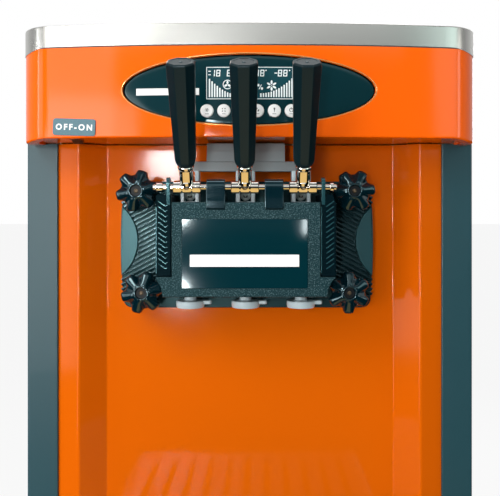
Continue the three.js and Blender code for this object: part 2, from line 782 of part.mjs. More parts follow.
function dispenserBody() {
  const flange = prism('y', roundedRect(headOffset, headZ, flangeWidth, flangeHeight, flangeCorner),
    flangeFront, flangeBack);
  const side = polygon([
    [blockFront + blockEdge, blockFoot], [flangeFront + 1, blockFoot], [flangeFront + 1, blockTop],
    [blockFront + blockEdge, blockTop], [blockFront, blockTop - blockEdge], [blockFront, blockFoot + blockEdge],
  ]);
  const front = prism('x', side, headOffset - blockWidth / 2, headOffset + blockWidth / 2);
  const pockets = knobPlaces().map(([x, z]) => bar('y', [x, blockFront - 5, z], knobPocket,
    flangeFront - blockFront + 5, 28));
  const lugSide = new THREE.Shape();
  lugSide.moveTo(blockFront - 3, blockTop - lugDrop);
  lugSide.lineTo(flangeFront + 1, blockTop - lugDrop);
  lugSide.lineTo(flangeFront + 1, blockTop + 4);
  lugSide.lineTo(rodDepth + lugRadius, rodZ);
  lugSide.absarc(rodDepth, rodZ, lugRadius, 0, Math.PI);
  lugSide.closePath();
  const lugs = [-lugOffset, lugOffset].map((x) => prism('x', lugSide,
    headOffset + x - lugWidth / 2, headOffset + x + lugWidth / 2));
  const ears = [-endLugOffset, endLugOffset].map((x) => {
    const [x0, x1] = [headOffset + x - endLugWidth / 2, headOffset + x + endLugWidth / 2];
    return block(x0, x1, rodDepth - 6, flangeFront + 1, blockTop - 5, rodZ + 8);
  });
  const body = join(cut(front, pockets), flange, lugs, ears);
  const bores = outlets.map((x) => bar('z', [x, pistonDepth, pistonFoot - 1], pistonRadius + gap,
    blockTop - pistonFoot + 30, 24));
  const spouts = outlets.map((x) => bar('z', [x, pistonDepth, blockFoot - 5], capNeckRadius + gap, 40, 16));
  const rod = bar('x', [headOffset - rodLength / 2 - 10, rodDepth, rodZ], rodRadius + gap,
    rodLength + 20, 12);
  const ports = barrels.map(({ x }) => bar('y', [x, pistonDepth, headZ - 15], portRadius, flangeBack, 16));
  const channel = bar('x', [outlets[0], pistonDepth, headZ - 38], channelRadius, outlets[2] - outlets[0], 8);
  const studs = knobPlaces().map(([x, z]) => bar('y', [x, flangeFront - 5, z], studRadius + gap, 60, 12));
  const seat = block(headOffset - labelWidth / 2 - gap, headOffset + labelWidth / 2 + gap,
    blockFront - 5, blockFront + labelSink, labelFoot() - gap, labelFoot() + labelHeight + gap);
  return cut(body, bores, spouts, rod, ports, channel, studs, seat);
}

function labelFoot() {
  return blockFoot + 10;
}

function addLabel() {
  const shape = roundedRect(headOffset, labelFoot() + labelHeight / 2, labelWidth, labelHeight, 1);
  const back = blockFront + labelSink - gap;
  add('label_plate', prism('y', shape, back - labelPlate, back), glossBlack);
}

// A valve piston: a round body, and a yoke with a window that the lever's ball lifts it by.
function piston() {
  const ballRest = rodZ + armLength * Math.sin(radians(armAngle));
  const top = blockTop + yokeRise;
  const body = bar('z', [0, 0, pistonFoot], pistonRadius, blockTop - 3 - pistonFoot, 24);
  const yoke = block(-yokeWidth / 2, yokeWidth / 2, -yokeDepth / 2, yokeDepth / 2, blockTop - 4, top);
  const play = ballRadius + ballPlay;
  const window = block(-ballRadius - 0.5, ballRadius + 0.5, -yokeDepth, yokeDepth,
    ballRest - play, ballRest + play);
  const notch = block(-ballRadius - 0.5, ballRadius + 0.5, -yokeDepth, yokeDepth, ballRest + play + 6, top + 5);
  return cut(join(body, yoke), window, notch);
}

// A lever around its pivot, with its stem upright.
function lever() {
  const tee = bar('x', [-leverTee / 2, 0, 0], leverTeeRadius, leverTee, 20);
  const stem = bar('z', [0, 0, 0], stemRadius, stemLength - gap, 16);
  const tang = bar('z', [0, 0, 0], tangRadius, tangReach, 10);
  const aim = radians(armAngle - leverLean);
  const rodGeometry = new THREE.CylinderGeometry(armRadius, armRadius, armLength, 8);
  rodGeometry.translate(0, armLength / 2, 0).rotateX(aim);
  const ball = new THREE.SphereGeometry(ballRadius, 12, 8);
  ball.translate(0, armLength * Math.cos(aim), armLength * Math.sin(aim));
  const body = join(tee, stem, tang, solid(rodGeometry), solid(ball));
  return cut(body, bar('x', [-leverTee, 0, 0], rodRadius + gap, 2 * leverTee, 12));
}

// An octagonal grip that widens to its head.
function grip() {
  const top = stemLength + gripLength;
  const octagon = (width, z) => Array.from({ length: 8 }, (_, step) => {
    const angle = ((step + 0.5) / 8) * 2 * Math.PI;
    const radius = width / 2 / Math.cos(Math.PI / 8);
    return new THREE.Vector3(radius * Math.cos(angle), radius * Math.sin(angle), z);
  });
  const body = loft([
    octagon(2 * stemRadius + 1, stemLength),
    octagon(gripFootWidth, stemLength + gripChin),
    octagon(gripHeadWidth, top - gripBevel),
    octagon(gripHeadWidth - 2, top),
  ]);
  return cut(body, bar('z', [0, 0, stemLength - 5], tangRadius + gap, tangReach - stemLength + 5 + gap, 10));
}

function addLevers() {
  outlets.forEach((x, index) => {
    const number = index + 1;
    const place = add(`valve_piston_${number}`, piston(), greyPlastic);
    place.position.set(x, pistonDepth, 0);
    const pivot = new THREE.Group();
    pivot.position.set(x, rodDepth, rodZ);
    pivot.rotation.x = radians(leverLean);
    add(`lever_${number}`, lever(), chrome, pivot);
    add(`grip_${number}`, grip(), blackPlastic, pivot);
    machine.add(pivot);
  });
  const rodStart = [headOffset - rodLength / 2, rodDepth, rodZ];
  add('pivot_rod', bar('x', rodStart, rodRadius, rodLength, 12), chrome);
}

// A star knob: rounded lobes from a cosine around its edge, and a hub behind.
function starKnob() {
  const [mean, wave] = [(knobRadius + knobValley) / 2, (knobRadius - knobValley) / 2];
  const star = (shrink, y) => Array.from({ length: knobLobes * 6 }, (_, step) => {
    const angle = (step / (knobLobes * 6)) * 2 * Math.PI;
    const radius = mean + wave * Math.cos(knobLobes * angle) - shrink;
    return new THREE.Vector3(radius * Math.cos(angle), y, radius * Math.sin(angle));
  });
  const body = loft([star(3, 0), star(0, 4), star(0, knobThickness - 3), star(2, knobThickness)]);
  const reach = flangeFront - gap - knobFront;
  const hub = bar('y', [0, knobThickness - 1, 0], knobHub, reach - knobThickness + 1, 16);
  return cut(join(body, hub), bar('y', [0, -5, 0], studRadius + gap, reach + 10, 12));
}

function addKnobs() {
  knobPlaces().forEach(([x, z], index) => {
    add(`knob_${index + 1}`, starKnob(), glossBlack).position.set(x, knobFront, z);
  });
}

// A nozzle cap: a disc with a tab, and a neck that plugs into the spout.
function nozzleCap() {
  const disc = bar('z', [0, 0, -capHeight], capRadius, capHeight, 24);
  const neck = bar('z', [0, 0, -1], capNeckRadius, capNeckLength + 1, 16);
  const tab = block(capRadius - 3, capRadius + capTabReach, -capTabWidth / 2, capTabWidth / 2, -capTabHeight, 0);
  return cut(join(disc, neck, tab), bar('z', [0, 0, -capHeight - 5], capBore, capHeight + capNeckLength + 10, 12));
}

function addCaps() {
  outlets.forEach((x, index) => {
    const place = add(`nozzle_cap_${index + 1}`, nozzleCap(), greyPlastic);
    place.position.set(x, pistonDepth, blockFoot - capDrop);
  });
}

// The bracket's bent sheet, seen from the side, with cheeks and a wider lip.
function switchBracket() {
  const top = hoodBottom - gap - 1;
  const back = centreDepth - gap;
  const x = headOffset;
  const upper = polygon([
    [back, top], [bracketTop, top], [bracketFold + 4, top - bracketShoulder],
    [bracketFold, top - bracketLipDrop], [bracketFold + sheet, top - bracketLipDrop],
    [bracketFold + 4 + sheet, top - bracketShoulder - sheet], [bracketTop + 1, top - sheet], [back, top - sheet],
  ]);
  const cheek = polygon([
    [back, top], [bracketTop, top], [bracketFold + 4, top - bracketShoulder],
    [bracketFold, top - bracketLipDrop], [back, top - bracketLipDrop],
  ]);
  const lip = polygon([
    [bracketFold, top - bracketLipDrop + 0.5], [bracketLip, top - bracketHeight],
    [bracketLip + sheet, top - bracketHeight], [bracketFold + sheet, top - bracketLipDrop],
    [back, top - bracketLipDrop], [back, top - bracketLipDrop + 0.5],
  ]);
  return join(
    prism('x', upper, x - bracketHalf, x + bracketHalf),
    prism('x', cheek, x - bracketHalf, x - bracketHalf + sheet),
    prism('x', cheek, x + bracketHalf - sheet, x + bracketHalf),
    prism('x', lip, x - bracketLipHalf, x + bracketLipHalf),
  );
}

// ---------------------------------------------------------------- freezing and drive

function freezingCylinder({ x, sign }) {
  const front = centreDepth - gap - barrelFlange;
  const barrel = bar('y', [x, front, headZ], barrelRadius, barrelBack - front, 36);
  const hollow = bar('y', [x, front - 5, headZ], barrelRadius - barrelWall, barrelBack - front - barrelEnd + 5, 36);
  const inner = headOffset + sign * gap;
  const outer = headOffset + sign * (flangeWidth / 2 - 3);
  const [x0, x1] = [inner, outer].sort((a, b) => a - b);
  const flange = block(x0, x1, front, front + barrelFlange,
    headZ - flangeHeight / 2 + 3, headZ + flangeHeight / 2 - 3);
  const studs = knobPlaces().filter(([place]) => (place - headOffset) * sign > 0)
    .map(([place, z]) => bar('y', [place, knobFront + 5, z], studRadius, front - knobFront - 4, 12));
  const shaft = bar('y', [x, barrelBack - barrelEnd - 5, headZ], beaterShaft + gap, 20, 16);
  const inlet = bar('z', [x, drainDepth, headZ], drainRadius, barrelRadius + 5, 12);
  return cut(join(barrel, flange, studs), hollow, shaft, inlet);
}

// A beater: a flat bar wound into a double screw, on a shaft that reaches the gearbox.
function beater({ x }) {
  const front = centreDepth + 8;
  const length = barrelBack - barrelEnd - 6 - front;
  const geometry = new THREE.ExtrudeGeometry(
    polygon([[-beaterRadius, -beaterBlade / 2], [beaterRadius, -beaterBlade / 2],
      [beaterRadius, beaterBlade / 2], [-beaterRadius, beaterBlade / 2]]),
    { depth: length, bevelEnabled: false, steps: 24 },
  );
  const place = geometry.getAttribute('position');
  const point = new THREE.Vector3();
  const upright = new THREE.Vector3(0, 0, 1);
  for (let i = 0; i < place.count; i += 1) {
    point.fromBufferAttribute(place, i);
    point.applyAxisAngle(upright, (point.z / length) * beaterTurns * 2 * Math.PI);
    place.setXYZ(i, point.x, point.y, point.z);
  }
  geometry.rotateX(Math.PI / 2).translate(x, front + length, headZ);
  const shaftFront = front + length - beaterRadius / 4;
  const reach = gearboxFront + socketDepth - gap - shaftFront;
  return join(solid(geometry), bar('y', [x, shaftFront, headZ], beaterShaft, reach));
}

function gearmotor({ x }) {
  const back = gearboxFront + gearboxDepth;
  const box = block(x - gearboxWidth / 2, x + gearboxWidth / 2, gearboxFront, back,
    shelfTop + gap, headZ + gearboxHeight / 2);
  const motor = bar('y', [x, back - 1, headZ], motorRadius, motorLength, 24);
  return cut(join(box, motor), bar('y', [x, gearboxFront - 5, headZ], beaterShaft + gap, socketDepth + 5));
}

// ---------------------------------------------------------------- hoppers

function hopperOutline(sign, grow) {
  return roundedRect(sign * (hopperInset + hopperWidth / 2), (hopperFront + hopperBack) / 2,
    hopperWidth + 2 * grow, hopperBack - hopperFront + 2 * grow, hopperCorner + grow);
}

function hopper({ x, sign }) {
  const foot = deckHeight - hopperDepth;
  const rimTop = deckHeight + gap + hopperWall;
  const tub = join(
    prism('z', hopperOutline(sign, 0), foot, rimTop),
    prism('z', hopperOutline(sign, hopperRim), deckHeight + gap, rimTop),
    bar('z', [x, drainDepth, headZ + barrelRadius + gap], drainRadius + drainWall,
      foot - headZ - barrelRadius + 1, 16),
  );
  return cut(tub, prism('z', hopperOutline(sign, -hopperWall), foot + hopperWall, rimTop + 5),
    bar('z', [x, drainDepth, headZ], drainRadius, foot - headZ + 10, 16));
}

function hopperLid({ sign }) {
  const foot = deckHeight + 2 * gap + hopperWall;
  const x = sign * (hopperInset + hopperWidth / 2);
  const y = (hopperFront + hopperBack) / 2;
  const ridgeSide = polygon([
    [x - lidRidgeWidth / 2, foot + lidPlate - 1], [x + lidRidgeWidth / 2, foot + lidPlate - 1],
    [x + lidRidgeWidth / 2 - 4, foot + lidPlate + lidRidge], [x - lidRidgeWidth / 2 + 4, foot + lidPlate + lidRidge],
  ]);
  return join(
    prism('z', hopperOutline(sign, hopperRim - 1), foot, foot + lidPlate),
    prism('z', hopperOutline(sign, -hopperWall - gap), foot - lidPlug, foot + 1),
    prism('y', ridgeSide, y - lidRidgeLength / 2, y + lidRidgeLength / 2),
  );
}

function feedTube({ x }) {
  const foot = deckHeight - hopperDepth - 20;
  const height = deckHeight - tubeTop - foot;
  const outer = drainRadius - gap;
  const bore = outer - tubeWall;
  return turned('z', [x, drainDepth, foot], [
    [bore, 0], [outer, 0], [outer, height - 12], [outer + tubeHead, height - 12],
    [outer + tubeHead, height], [bore, height], [bore, 0],
  ], 16);
}

// ---------------------------------------------------------------- cooling plant

function compressor() {
  const [r, h] = [compressorRadius, compressorHeight];
  const dome = turned('z', [compressorX, compressorY, baseTop + 16], [
    [0, 0], [r * 0.85, 0], [r, r * 0.15], [r, h * 0.45], [r + 4, h * 0.45], [r + 4, h * 0.45 + 6],
    [r, h * 0.45 + 6], [r, h - r * 0.4], [r * 0.75, h - r * 0.1], [0, h],
  ], 24);
  const plate = block(compressorX - r - 12, compressorX + r + 12, compressorY - r - 4, compressorY + r + 4,
    baseTop + 12, baseTop + 17);
  const feet = [[-1, -1], [1, -1], [-1, 1], [1, 1]].map(([sx, sy]) => bar('z',
    [compressorX + sx * r, compressorY + sy * (r - 8), baseTop + gap], 11, 13, 8));
  const pipe = bar('y', [compressorX + r * 0.5, compressorY, baseTop + h * 0.7], 8, r + 20, 12);
  return join(dome, plate, feet, pipe);
}

function condenser() {
  const [x0, x1] = [condenserX - condenserWidth / 2, condenserX + condenserWidth / 2];
  const [z0, z1] = [baseTop + gap, baseTop + gap + condenserHeight];
  const back = condenserFront + condenserDepth;
  const z = (z0 + z1) / 2;
  const core = block(x0, x1, condenserFront, back, z0, z1);
  const fins = Array.from({ length: 11 }, (_, step) => {
    const left = x0 + 14 + (step * (condenserWidth - 34)) / 10;
    return block(left, left + 6, condenserFront - 5, condenserFront + 8, z0 + 12, z1 - 12);
  });
  const strap = block(x0, x1, back - 1, back + 12, z - 12, z + 12);
  const motor = bar('y', [condenserX, back, z], fanMotorRadius, fanMotorLength, 20);
  const shaft = bar('y', [condenserX, back + fanMotorLength - 1, z], fanShaft, fanThickness + 3, 12);
  return join(cut(core, fins), strap, motor, shaft);
}

function fan() {
  const front = condenserFront + condenserDepth + fanMotorLength + gap;
  const z = baseTop + gap + condenserHeight / 2;
  const hub = bar('y', [0, 0, 0], fanHub, fanThickness, 16);
  const blades = Array.from({ length: fanBlades }, (_, step) => {
    const blade = new THREE.BoxGeometry(70, 2.5, fanRadius - fanHub + 6);
    blade.rotateZ(radians(14)).translate(0, fanThickness / 2, (fanRadius + fanHub - 6) / 2);
    return solid(blade.rotateY((step / fanBlades) * 2 * Math.PI));
  });
  const body = cut(join(hub, blades), bar('y', [0, -5, 0], fanShaft + gap, fanThickness + 10, 12));
  return { body, place: [condenserX, front, z] };
}

// ---------------------------------------------------------------- drip tray

function trayOutline(wall) {
  const back = centreDepth - gap;
  const [width, depth] = [2 * (trayHalf - wall), back - trayFront - 2 * wall];
  return roundedRect(headOffset, (back + trayFront) / 2, width, depth, trayCorner - wall);
}

function dripTray() {
  const ledge = trayTop - grilleDrop - grillePlate - gap;
  return cut(
    prism('z', trayOutline(0), trayHeight, trayTop),
    prism('z', trayOutline(trayWall), ledge, trayTop + 5),
    prism('z', trayOutline(trayWall + trayLedge), trayHeight + trayWall, trayTop + 5),
  );
}

function dripGrille() {
  const top = trayTop - grilleDrop;
  const plate = prism('z', trayOutline(trayWall + gap), top - grillePlate, top);
  const depth = centreDepth - trayFront - 60;
  const y = (centreDepth + trayFront) / 2;
  const pitch = (2 * trayHalf - 60) / (grilleSlots - 1);
  const slots = Array.from({ length: grilleSlots }, (_, step) => {
    const x = headOffset + (step - (grilleSlots - 1) / 2) * pitch;
    return block(x - grilleSlotWidth / 2, x + grilleSlotWidth / 2, y - depth / 2, y + depth / 2,
      top - grillePlate - 5, top + 5);
  });
  return cut(plate, slots);
}

// ---------------------------------------------------------------- assembly

add('chassis', chassis(), zincSteel);
add('left_side_panel', sidePanel(-1), columnPaint);
add('right_side_panel', sidePanel(1), columnPaint);
add('rear_panel', rearPanel(), columnPaint);
add('front_panel', frontPanel(), orangePaint);
add('hood', hood(), orangePaint);
add('top_deck', topDeck(), stainless);
for (const barrel of barrels) {
  add(`hopper_${barrel.side}`, hopper(barrel), stainless);
  add(`hopper_lid_${barrel.side}`, hopperLid(barrel), stainless);
  add(`feed_tube_${barrel.side}`, feedTube(barrel), greyPlastic);
  add(`freezing_cylinder_${barrel.side}`, freezingCylinder(barrel), stainless);
  add(`beater_${barrel.side}`, beater(barrel), stainless);
  add(`gearmotor_${barrel.side}`, gearmotor(barrel), castIron);
}
addDisplay();
addSwitch();
add('dispenser_body', dispenserBody(), blackPlastic);
addLabel();
add('switch_bracket', switchBracket(), stainless);
addLevers();
addKnobs();
addCaps();
add('compressor', compressor(), castIron);
add('condenser', condenser(), zincSteel);
const { body: fanBody, place: fanPlace } = fan();
add('fan', fanBody, blackPlastic).position.set(...fanPlace);
add('drip_tray', dripTray(), stainless);
add('drip_grille', dripGrille(), stainless);
addCastors();

const reach = new THREE.Box3().setFromObject(machine, true);
machine.position.y = -(reach.min.y + reach.max.y) / 2;
machine.updateMatrixWorld(true);

export default machine;
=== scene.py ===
"""Looks of a floor-standing soft-serve machine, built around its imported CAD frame.

Each sub-assembly is a class that works out its surfaces with numpy, in millimetres, and dresses
them in the finishes below. Places come from the boxes of the CAD nodes.
"""

from __future__ import annotations

import json
import logging
import math
from collections.abc import Callable, Sequence
from dataclasses import dataclass, field
from enum import Enum

import bmesh
import bpy
import numpy as np
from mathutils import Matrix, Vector

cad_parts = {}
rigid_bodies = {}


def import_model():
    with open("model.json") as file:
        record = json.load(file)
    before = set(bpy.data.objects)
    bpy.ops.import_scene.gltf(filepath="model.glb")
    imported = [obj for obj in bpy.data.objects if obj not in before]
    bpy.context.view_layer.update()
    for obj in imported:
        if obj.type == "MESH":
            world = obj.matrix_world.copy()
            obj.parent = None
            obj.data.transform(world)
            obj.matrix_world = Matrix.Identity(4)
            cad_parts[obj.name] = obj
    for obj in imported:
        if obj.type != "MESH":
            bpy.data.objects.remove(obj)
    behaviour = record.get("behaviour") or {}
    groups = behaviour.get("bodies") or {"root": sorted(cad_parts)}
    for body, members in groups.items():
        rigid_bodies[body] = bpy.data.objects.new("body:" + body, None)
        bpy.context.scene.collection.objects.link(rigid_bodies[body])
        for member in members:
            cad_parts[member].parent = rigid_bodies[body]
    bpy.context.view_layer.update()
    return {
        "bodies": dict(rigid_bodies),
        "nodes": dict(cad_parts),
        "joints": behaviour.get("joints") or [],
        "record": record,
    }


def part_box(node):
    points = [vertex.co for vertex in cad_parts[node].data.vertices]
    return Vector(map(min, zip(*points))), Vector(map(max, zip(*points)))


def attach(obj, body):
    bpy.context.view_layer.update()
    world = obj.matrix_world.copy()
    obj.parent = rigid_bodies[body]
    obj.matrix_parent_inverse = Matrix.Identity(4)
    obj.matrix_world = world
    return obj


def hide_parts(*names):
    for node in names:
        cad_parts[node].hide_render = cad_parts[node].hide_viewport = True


LOG = logging.getLogger("looks")
MM = 0.001
MERGE = 2e-6  # metres within which a piece's points become one
BEVEL_TURN = 28.0  # degrees past which an edge gets a piece's bevel

Pair = tuple[float, float]
Triple = tuple[float, float, float]
Colour = tuple[float, float, float]
Profile = Sequence[Pair]
Lift = Callable[[np.ndarray, float], np.ndarray]
Amount = float | bpy.types.NodeSocket


# ---- shader node groups


class Graph:
    """A node tree with short calls for adding and linking its nodes."""

    def __init__(self, tree: bpy.types.NodeTree) -> None:
        """Wraps a tree."""
        self.tree = tree

    def node(self, kind: str, inputs: dict | None = None, **settings: object) -> bpy.types.Node:
        """Adds a node.

        Args:
            kind: the node's type without the ShaderNode prefix.
            inputs: socket name or index to a value, or to a socket to link from.
            settings: properties of the node.

        Returns:
            The new node.
        """
        made = self.tree.nodes.new(kind if kind.startswith("NodeGroup") else "ShaderNode" + kind)
        for name, value in settings.items():
            setattr(made, name, value)
        for name, value in (inputs or {}).items():
            if isinstance(value, bpy.types.NodeSocket):
                self.tree.links.new(value, made.inputs[name])
            else:
                made.inputs[name].default_value = value
        return made

    def math(self, operation: str, a: Amount, b: Amount = 0.0) -> bpy.types.NodeSocket:
        """Adds a Math node and returns its result."""
        return self.node("Math", {0: a, 1: b}, operation=operation).outputs[0]


class Effect:
    """A shader node group that several finishes share."""

    def __init__(self, name: str, inputs: dict[str, object], outputs: dict[str, str]) -> None:
        """Makes the empty group.

        Args:
            name: the group's name.
            inputs: socket name to its default value; the value's type gives the socket's.
            outputs: socket name to Float, Color or Vector.
        """
        self.tree = bpy.data.node_groups.new(name, "ShaderNodeTree")
        self.graph = Graph(self.tree)
        for key, value in inputs.items():
            size = len(value) if isinstance(value, tuple) else 1
            kind = {1: "Float", 3: "Vector", 4: "Color"}[size]
            made = self.tree.interface.new_socket(key, in_out="INPUT", socket_type="NodeSocket" + kind)
            made.default_value = value
        for key, kind in outputs.items():
            self.tree.interface.new_socket(key, in_out="OUTPUT", socket_type="NodeSocket" + kind)
        self.start = self.graph.node("NodeGroupInput").outputs
        self.end = self.graph.node("NodeGroupOutput").inputs

    def put(self, name: str, socket: bpy.types.NodeSocket) -> None:
        """Links a socket to one of the group's outputs."""
        self.tree.links.new(socket, self.end[name])


def tone_effect() -> Effect:
    """Slow drift of a colour: the colour times 1 + amount * (soft noise - 0.5).

    Returns:
        The group, whose output is the drifted colour.
    """
    group = Effect(
        "tone_drift", {"Color": (0.5, 0.5, 0.5, 1.0), "Scale": 4.0, "Amount": 0.1}, {"Color": "Color"}
    )
    g, start = group.graph, group.start
    place = g.node("TexCoord").outputs["Object"]
    settings = {"Vector": place, "Scale": start["Scale"], "Detail": 3.0, "Roughness": 0.55}
    noise = g.node("TexNoise", settings)
    drift = g.math("MULTIPLY", g.math("SUBTRACT", noise.outputs["Fac"], 0.5), start["Amount"])
    factor = g.math("ADD", drift, 1.0)
    scaled = g.node("VectorMath", {0: start["Color"], "Scale": factor}, operation="SCALE")
    group.put("Color", scaled.outputs[0])
    return group


def grain_effect() -> Effect:
    """Fine grain: noise gives a bump and moves the roughness; the bumps' tops give a mask of grains that get
    painted glints.

    Returns:
        The group, whose outputs are the bumped normal, the roughness and the mask of painted glints.
    """
    group = Effect(
        "fine_grain",
        {
            "Scale": 800.0, "Depth": 0.0001, "Strength": 0.4,
            "Roughness": 0.4, "Spread": 0.1, "Stretch": (1.0, 1.0, 1.0),
        },
        {"Normal": "Vector", "Roughness": "Float", "GlintMask": "Float"},
    )
    g, start = group.graph, group.start
    here = g.node("TexCoord").outputs["Object"]
    place = g.node("VectorMath", {0: here, 1: start["Stretch"]}, operation="MULTIPLY")
    fine = g.node("TexNoise", {"Vector": place.outputs[0], "Scale": start["Scale"], "Detail": 2.0})
    slow = g.node("TexNoise", {"Vector": place.outputs[0], "Scale": 14.0, "Detail": 3.0})
    relief = {"Height": fine.outputs["Fac"], "Distance": start["Depth"], "Strength": start["Strength"]}
    bump = g.node("Bump", relief)
    swing = g.math("MULTIPLY", g.math("SUBTRACT", slow.outputs["Fac"], 0.5), start["Spread"])
    group.put("Normal", bump.outputs["Normal"])
    group.put("Roughness", g.math("ADD", start["Roughness"], swing))
    # The tops of the fine bumps mask the grains that get painted glints.
    glint_mask = g.node("MapRange", {"Value": fine.outputs["Fac"], "From Min": 0.52, "From Max": 0.66})
    group.put("GlintMask", glint_mask.outputs[0])
    return group


class Effects:
    """The shared node groups, made once."""

    def __init__(self) -> None:
        """Builds every group."""
        self.tone = tone_effect()
        self.grain = grain_effect()


class Pattern(Enum):
    """What a finish's fine surface is."""

    PAINT = "paint with a slight orange peel"
    GLOSS = "polished plastic or plated metal"
    # Finishes on these moulded patterns may add lighter grains on the bumps' tops: painted glints.
    MOULDED = "moulded plastic with a fine sparkle"
    SPECKLE = "moulded plastic with a leathery speckle"
    BRUSH_X = "metal brushed from side to side"
    BRUSH_Y = "metal brushed from front to back"
    BRUSH_Z = "metal brushed up and down"
    CAST = "rough painted casting"
    RUBBER = "matt rubber"


# Scale of the grain per metre, its depth in metres, its strength, and how it is stretched.
GRAINS: dict[Pattern, tuple[float, float, float, Triple]] = {
    Pattern.PAINT: (420.0, 0.00012, 0.10, (1.0, 1.0, 1.0)),
    Pattern.GLOSS: (150.0, 0.0001, 0.02, (1.0, 1.0, 1.0)),
    Pattern.MOULDED: (950.0, 0.00025, 0.75, (1.0, 1.0, 1.0)),
    Pattern.SPECKLE: (720.0, 0.0007, 1.0, (1.0, 1.0, 1.0)),
    Pattern.BRUSH_X: (1500.0, 0.00005, 0.18, (0.012, 1.0, 1.0)),
    Pattern.BRUSH_Y: (1500.0, 0.00005, 0.18, (1.0, 0.012, 1.0)),
    Pattern.BRUSH_Z: (1500.0, 0.00005, 0.18, (1.0, 1.0, 0.012)),
    Pattern.CAST: (260.0, 0.0005, 0.5, (1.0, 1.0, 1.0)),
    Pattern.RUBBER: (700.0, 0.0002, 0.4, (1.0, 1.0, 1.0)),
}
TONE_SCALE = 5.0  # slow patches of tone per metre
COAT_ROUGHNESS = 0.05
# Painted glints: how much lighter the grains on the bumps' tops get, for each unit of a finish's glints.
GLINT_PAINT_TINT: Colour = (0.014, 0.021, 0.023)  # what a sparkle of 1 adds to the colour of the bright grains


@dataclass(frozen=True)
class Finish:
    """A surface finish: its colour, its gloss and its fine pattern."""

    name: str
    slot: str
    colour: Colour
    roughness: float
    pattern: Pattern
    metallic: float = 0.0
    coat: float = 0.0
    spread: float = 0.08
    drift: float = 0.08
    # How strong the painted glints on the grain's bumps are.
    glint_paint: float = 0.0
    specular: float = 0.5
    glow: float = 0.0
    tint: Colour = (1.0, 1.0, 1.0)

    def material(self, effects: Effects) -> bpy.types.Material:
        """Builds the finish's material, or returns it where it was built before.

        Args:
            effects: the shared node groups.

        Returns:
            The material.
        """
        if self.name in bpy.data.materials:
            return bpy.data.materials[self.name]
        made = bpy.data.materials.new(self.name)
        made.use_nodes = True
        tree = made.node_tree
        shader = tree.nodes["Principled BSDF"]
        g = Graph(tree)
        scale, depth, strength, stretch = GRAINS[self.pattern]
        drift = {"Color": (*self.colour, 1.0), "Scale": TONE_SCALE, "Amount": self.drift}
        fine = {
            "Scale": scale, "Depth": depth, "Strength": strength, "Stretch": stretch,
            "Roughness": self.roughness, "Spread": self.spread,
        }
        colour = g.node("Group", drift, node_tree=effects.tone.tree).outputs["Color"]
        grain = g.node("Group", fine, node_tree=effects.grain.tree)
        # Painted glints: the grains on the bumps' tops get a lighter colour.
        if self.glint_paint:
            light = tuple(c + self.glint_paint * part for c, part in zip(self.colour, GLINT_PAINT_TINT))
            blend = {"Factor": grain.outputs["GlintMask"], 6: colour, 7: (*light, 1.0)}
            colour = g.node("Mix", blend, data_type="RGBA").outputs[2]
        tree.links.new(colour, shader.inputs["Base Color"])
        tree.links.new(grain.outputs["Roughness"], shader.inputs["Roughness"])
        tree.links.new(grain.outputs["Normal"], shader.inputs["Normal"])
        plain_inputs = {
            "Metallic": self.metallic, "Coat Weight": self.coat, "Coat Roughness": COAT_ROUGHNESS,
            "Specular IOR Level": self.specular, "Specular Tint": (*self.tint, 1.0),
        }
        if self.glow:
            plain_inputs |= {"Emission Color": (*self.colour, 1.0), "Emission Strength": self.glow}
        for key, value in plain_inputs.items():
            shader.inputs[key].default_value = value
        made.diffuse_color = (*self.colour, 1.0)
        return made


ORANGE = Finish(
    "orange_enamel", "orange_paint", (0.92, 0.122, 0.0012), 0.095, Pattern.PAINT,
    spread=0.06, drift=0.05, specular=0.36,
)
# The orange paint again, darker and yellower: painted shade for the front panel, the hood's underside and its
# returns, which the hood keeps from the lamps.
PANEL_SHADE = Finish(
    "panel_enamel_painted_shade", "orange_paint", (0.65, 0.108, 0.001), 0.095, Pattern.PAINT,
    spread=0.06, drift=0.05, specular=0.22,
)
COLUMN = Finish(
    "column_enamel", "column_paint", (0.013, 0.058, 0.074), 0.36, Pattern.PAINT,
    coat=0.1, drift=0.12,
)
# The switch plate's lighter grains are painted glints.
SLATE = Finish("slate_enamel", "slate_plate", (0.05, 0.14, 0.18), 0.4, Pattern.MOULDED, glint_paint=1.5)
STEEL_X = Finish(
    "steel_brushed_across", "stainless", (0.6, 0.6, 0.575), 0.27, Pattern.BRUSH_X, 1.0,
    spread=0.12,
)
STEEL_Y = Finish(
    "steel_brushed_along", "stainless", (0.6, 0.6, 0.575), 0.3, Pattern.BRUSH_Y, 1.0,
    spread=0.12,
)
STEEL_Z = Finish(
    "steel_brushed_upright", "stainless", (0.42, 0.46, 0.46), 0.3, Pattern.BRUSH_Z, 1.0,
    spread=0.12,
)
STEEL_SATIN = Finish("steel_satin", "stainless", (0.3, 0.31, 0.31), 0.42, Pattern.BRUSH_Y, 1.0, spread=0.12)
# Stainless made mostly diffuse in a grey-teal colour: a painted reflection of cool surroundings, in place of
# most of its real reflection.
BRACKET_REFLECTION = Finish(
    "steel_painted_reflection", "stainless", (0.27, 0.33, 0.35), 0.4, Pattern.BRUSH_Z, 0.15,
    spread=0.2, drift=0.6, specular=0.8,
)
CHROME = Finish(
    "chrome_plate", "chrome", (0.84, 0.82, 0.77), 0.07, Pattern.GLOSS, 1.0,
    spread=0.05, drift=0.03,
)
ZINC = Finish(
    "zinc_plate", "zinc_steel", (0.4, 0.42, 0.43), 0.38, Pattern.CAST, 1.0,
    spread=0.2, drift=0.25,
)
ALUMINIUM = Finish("aluminium_fins", "aluminium", (0.6, 0.61, 0.62), 0.4, Pattern.BRUSH_Z, 1.0)
TEAL: Colour = (0.5, 0.95, 1.0)
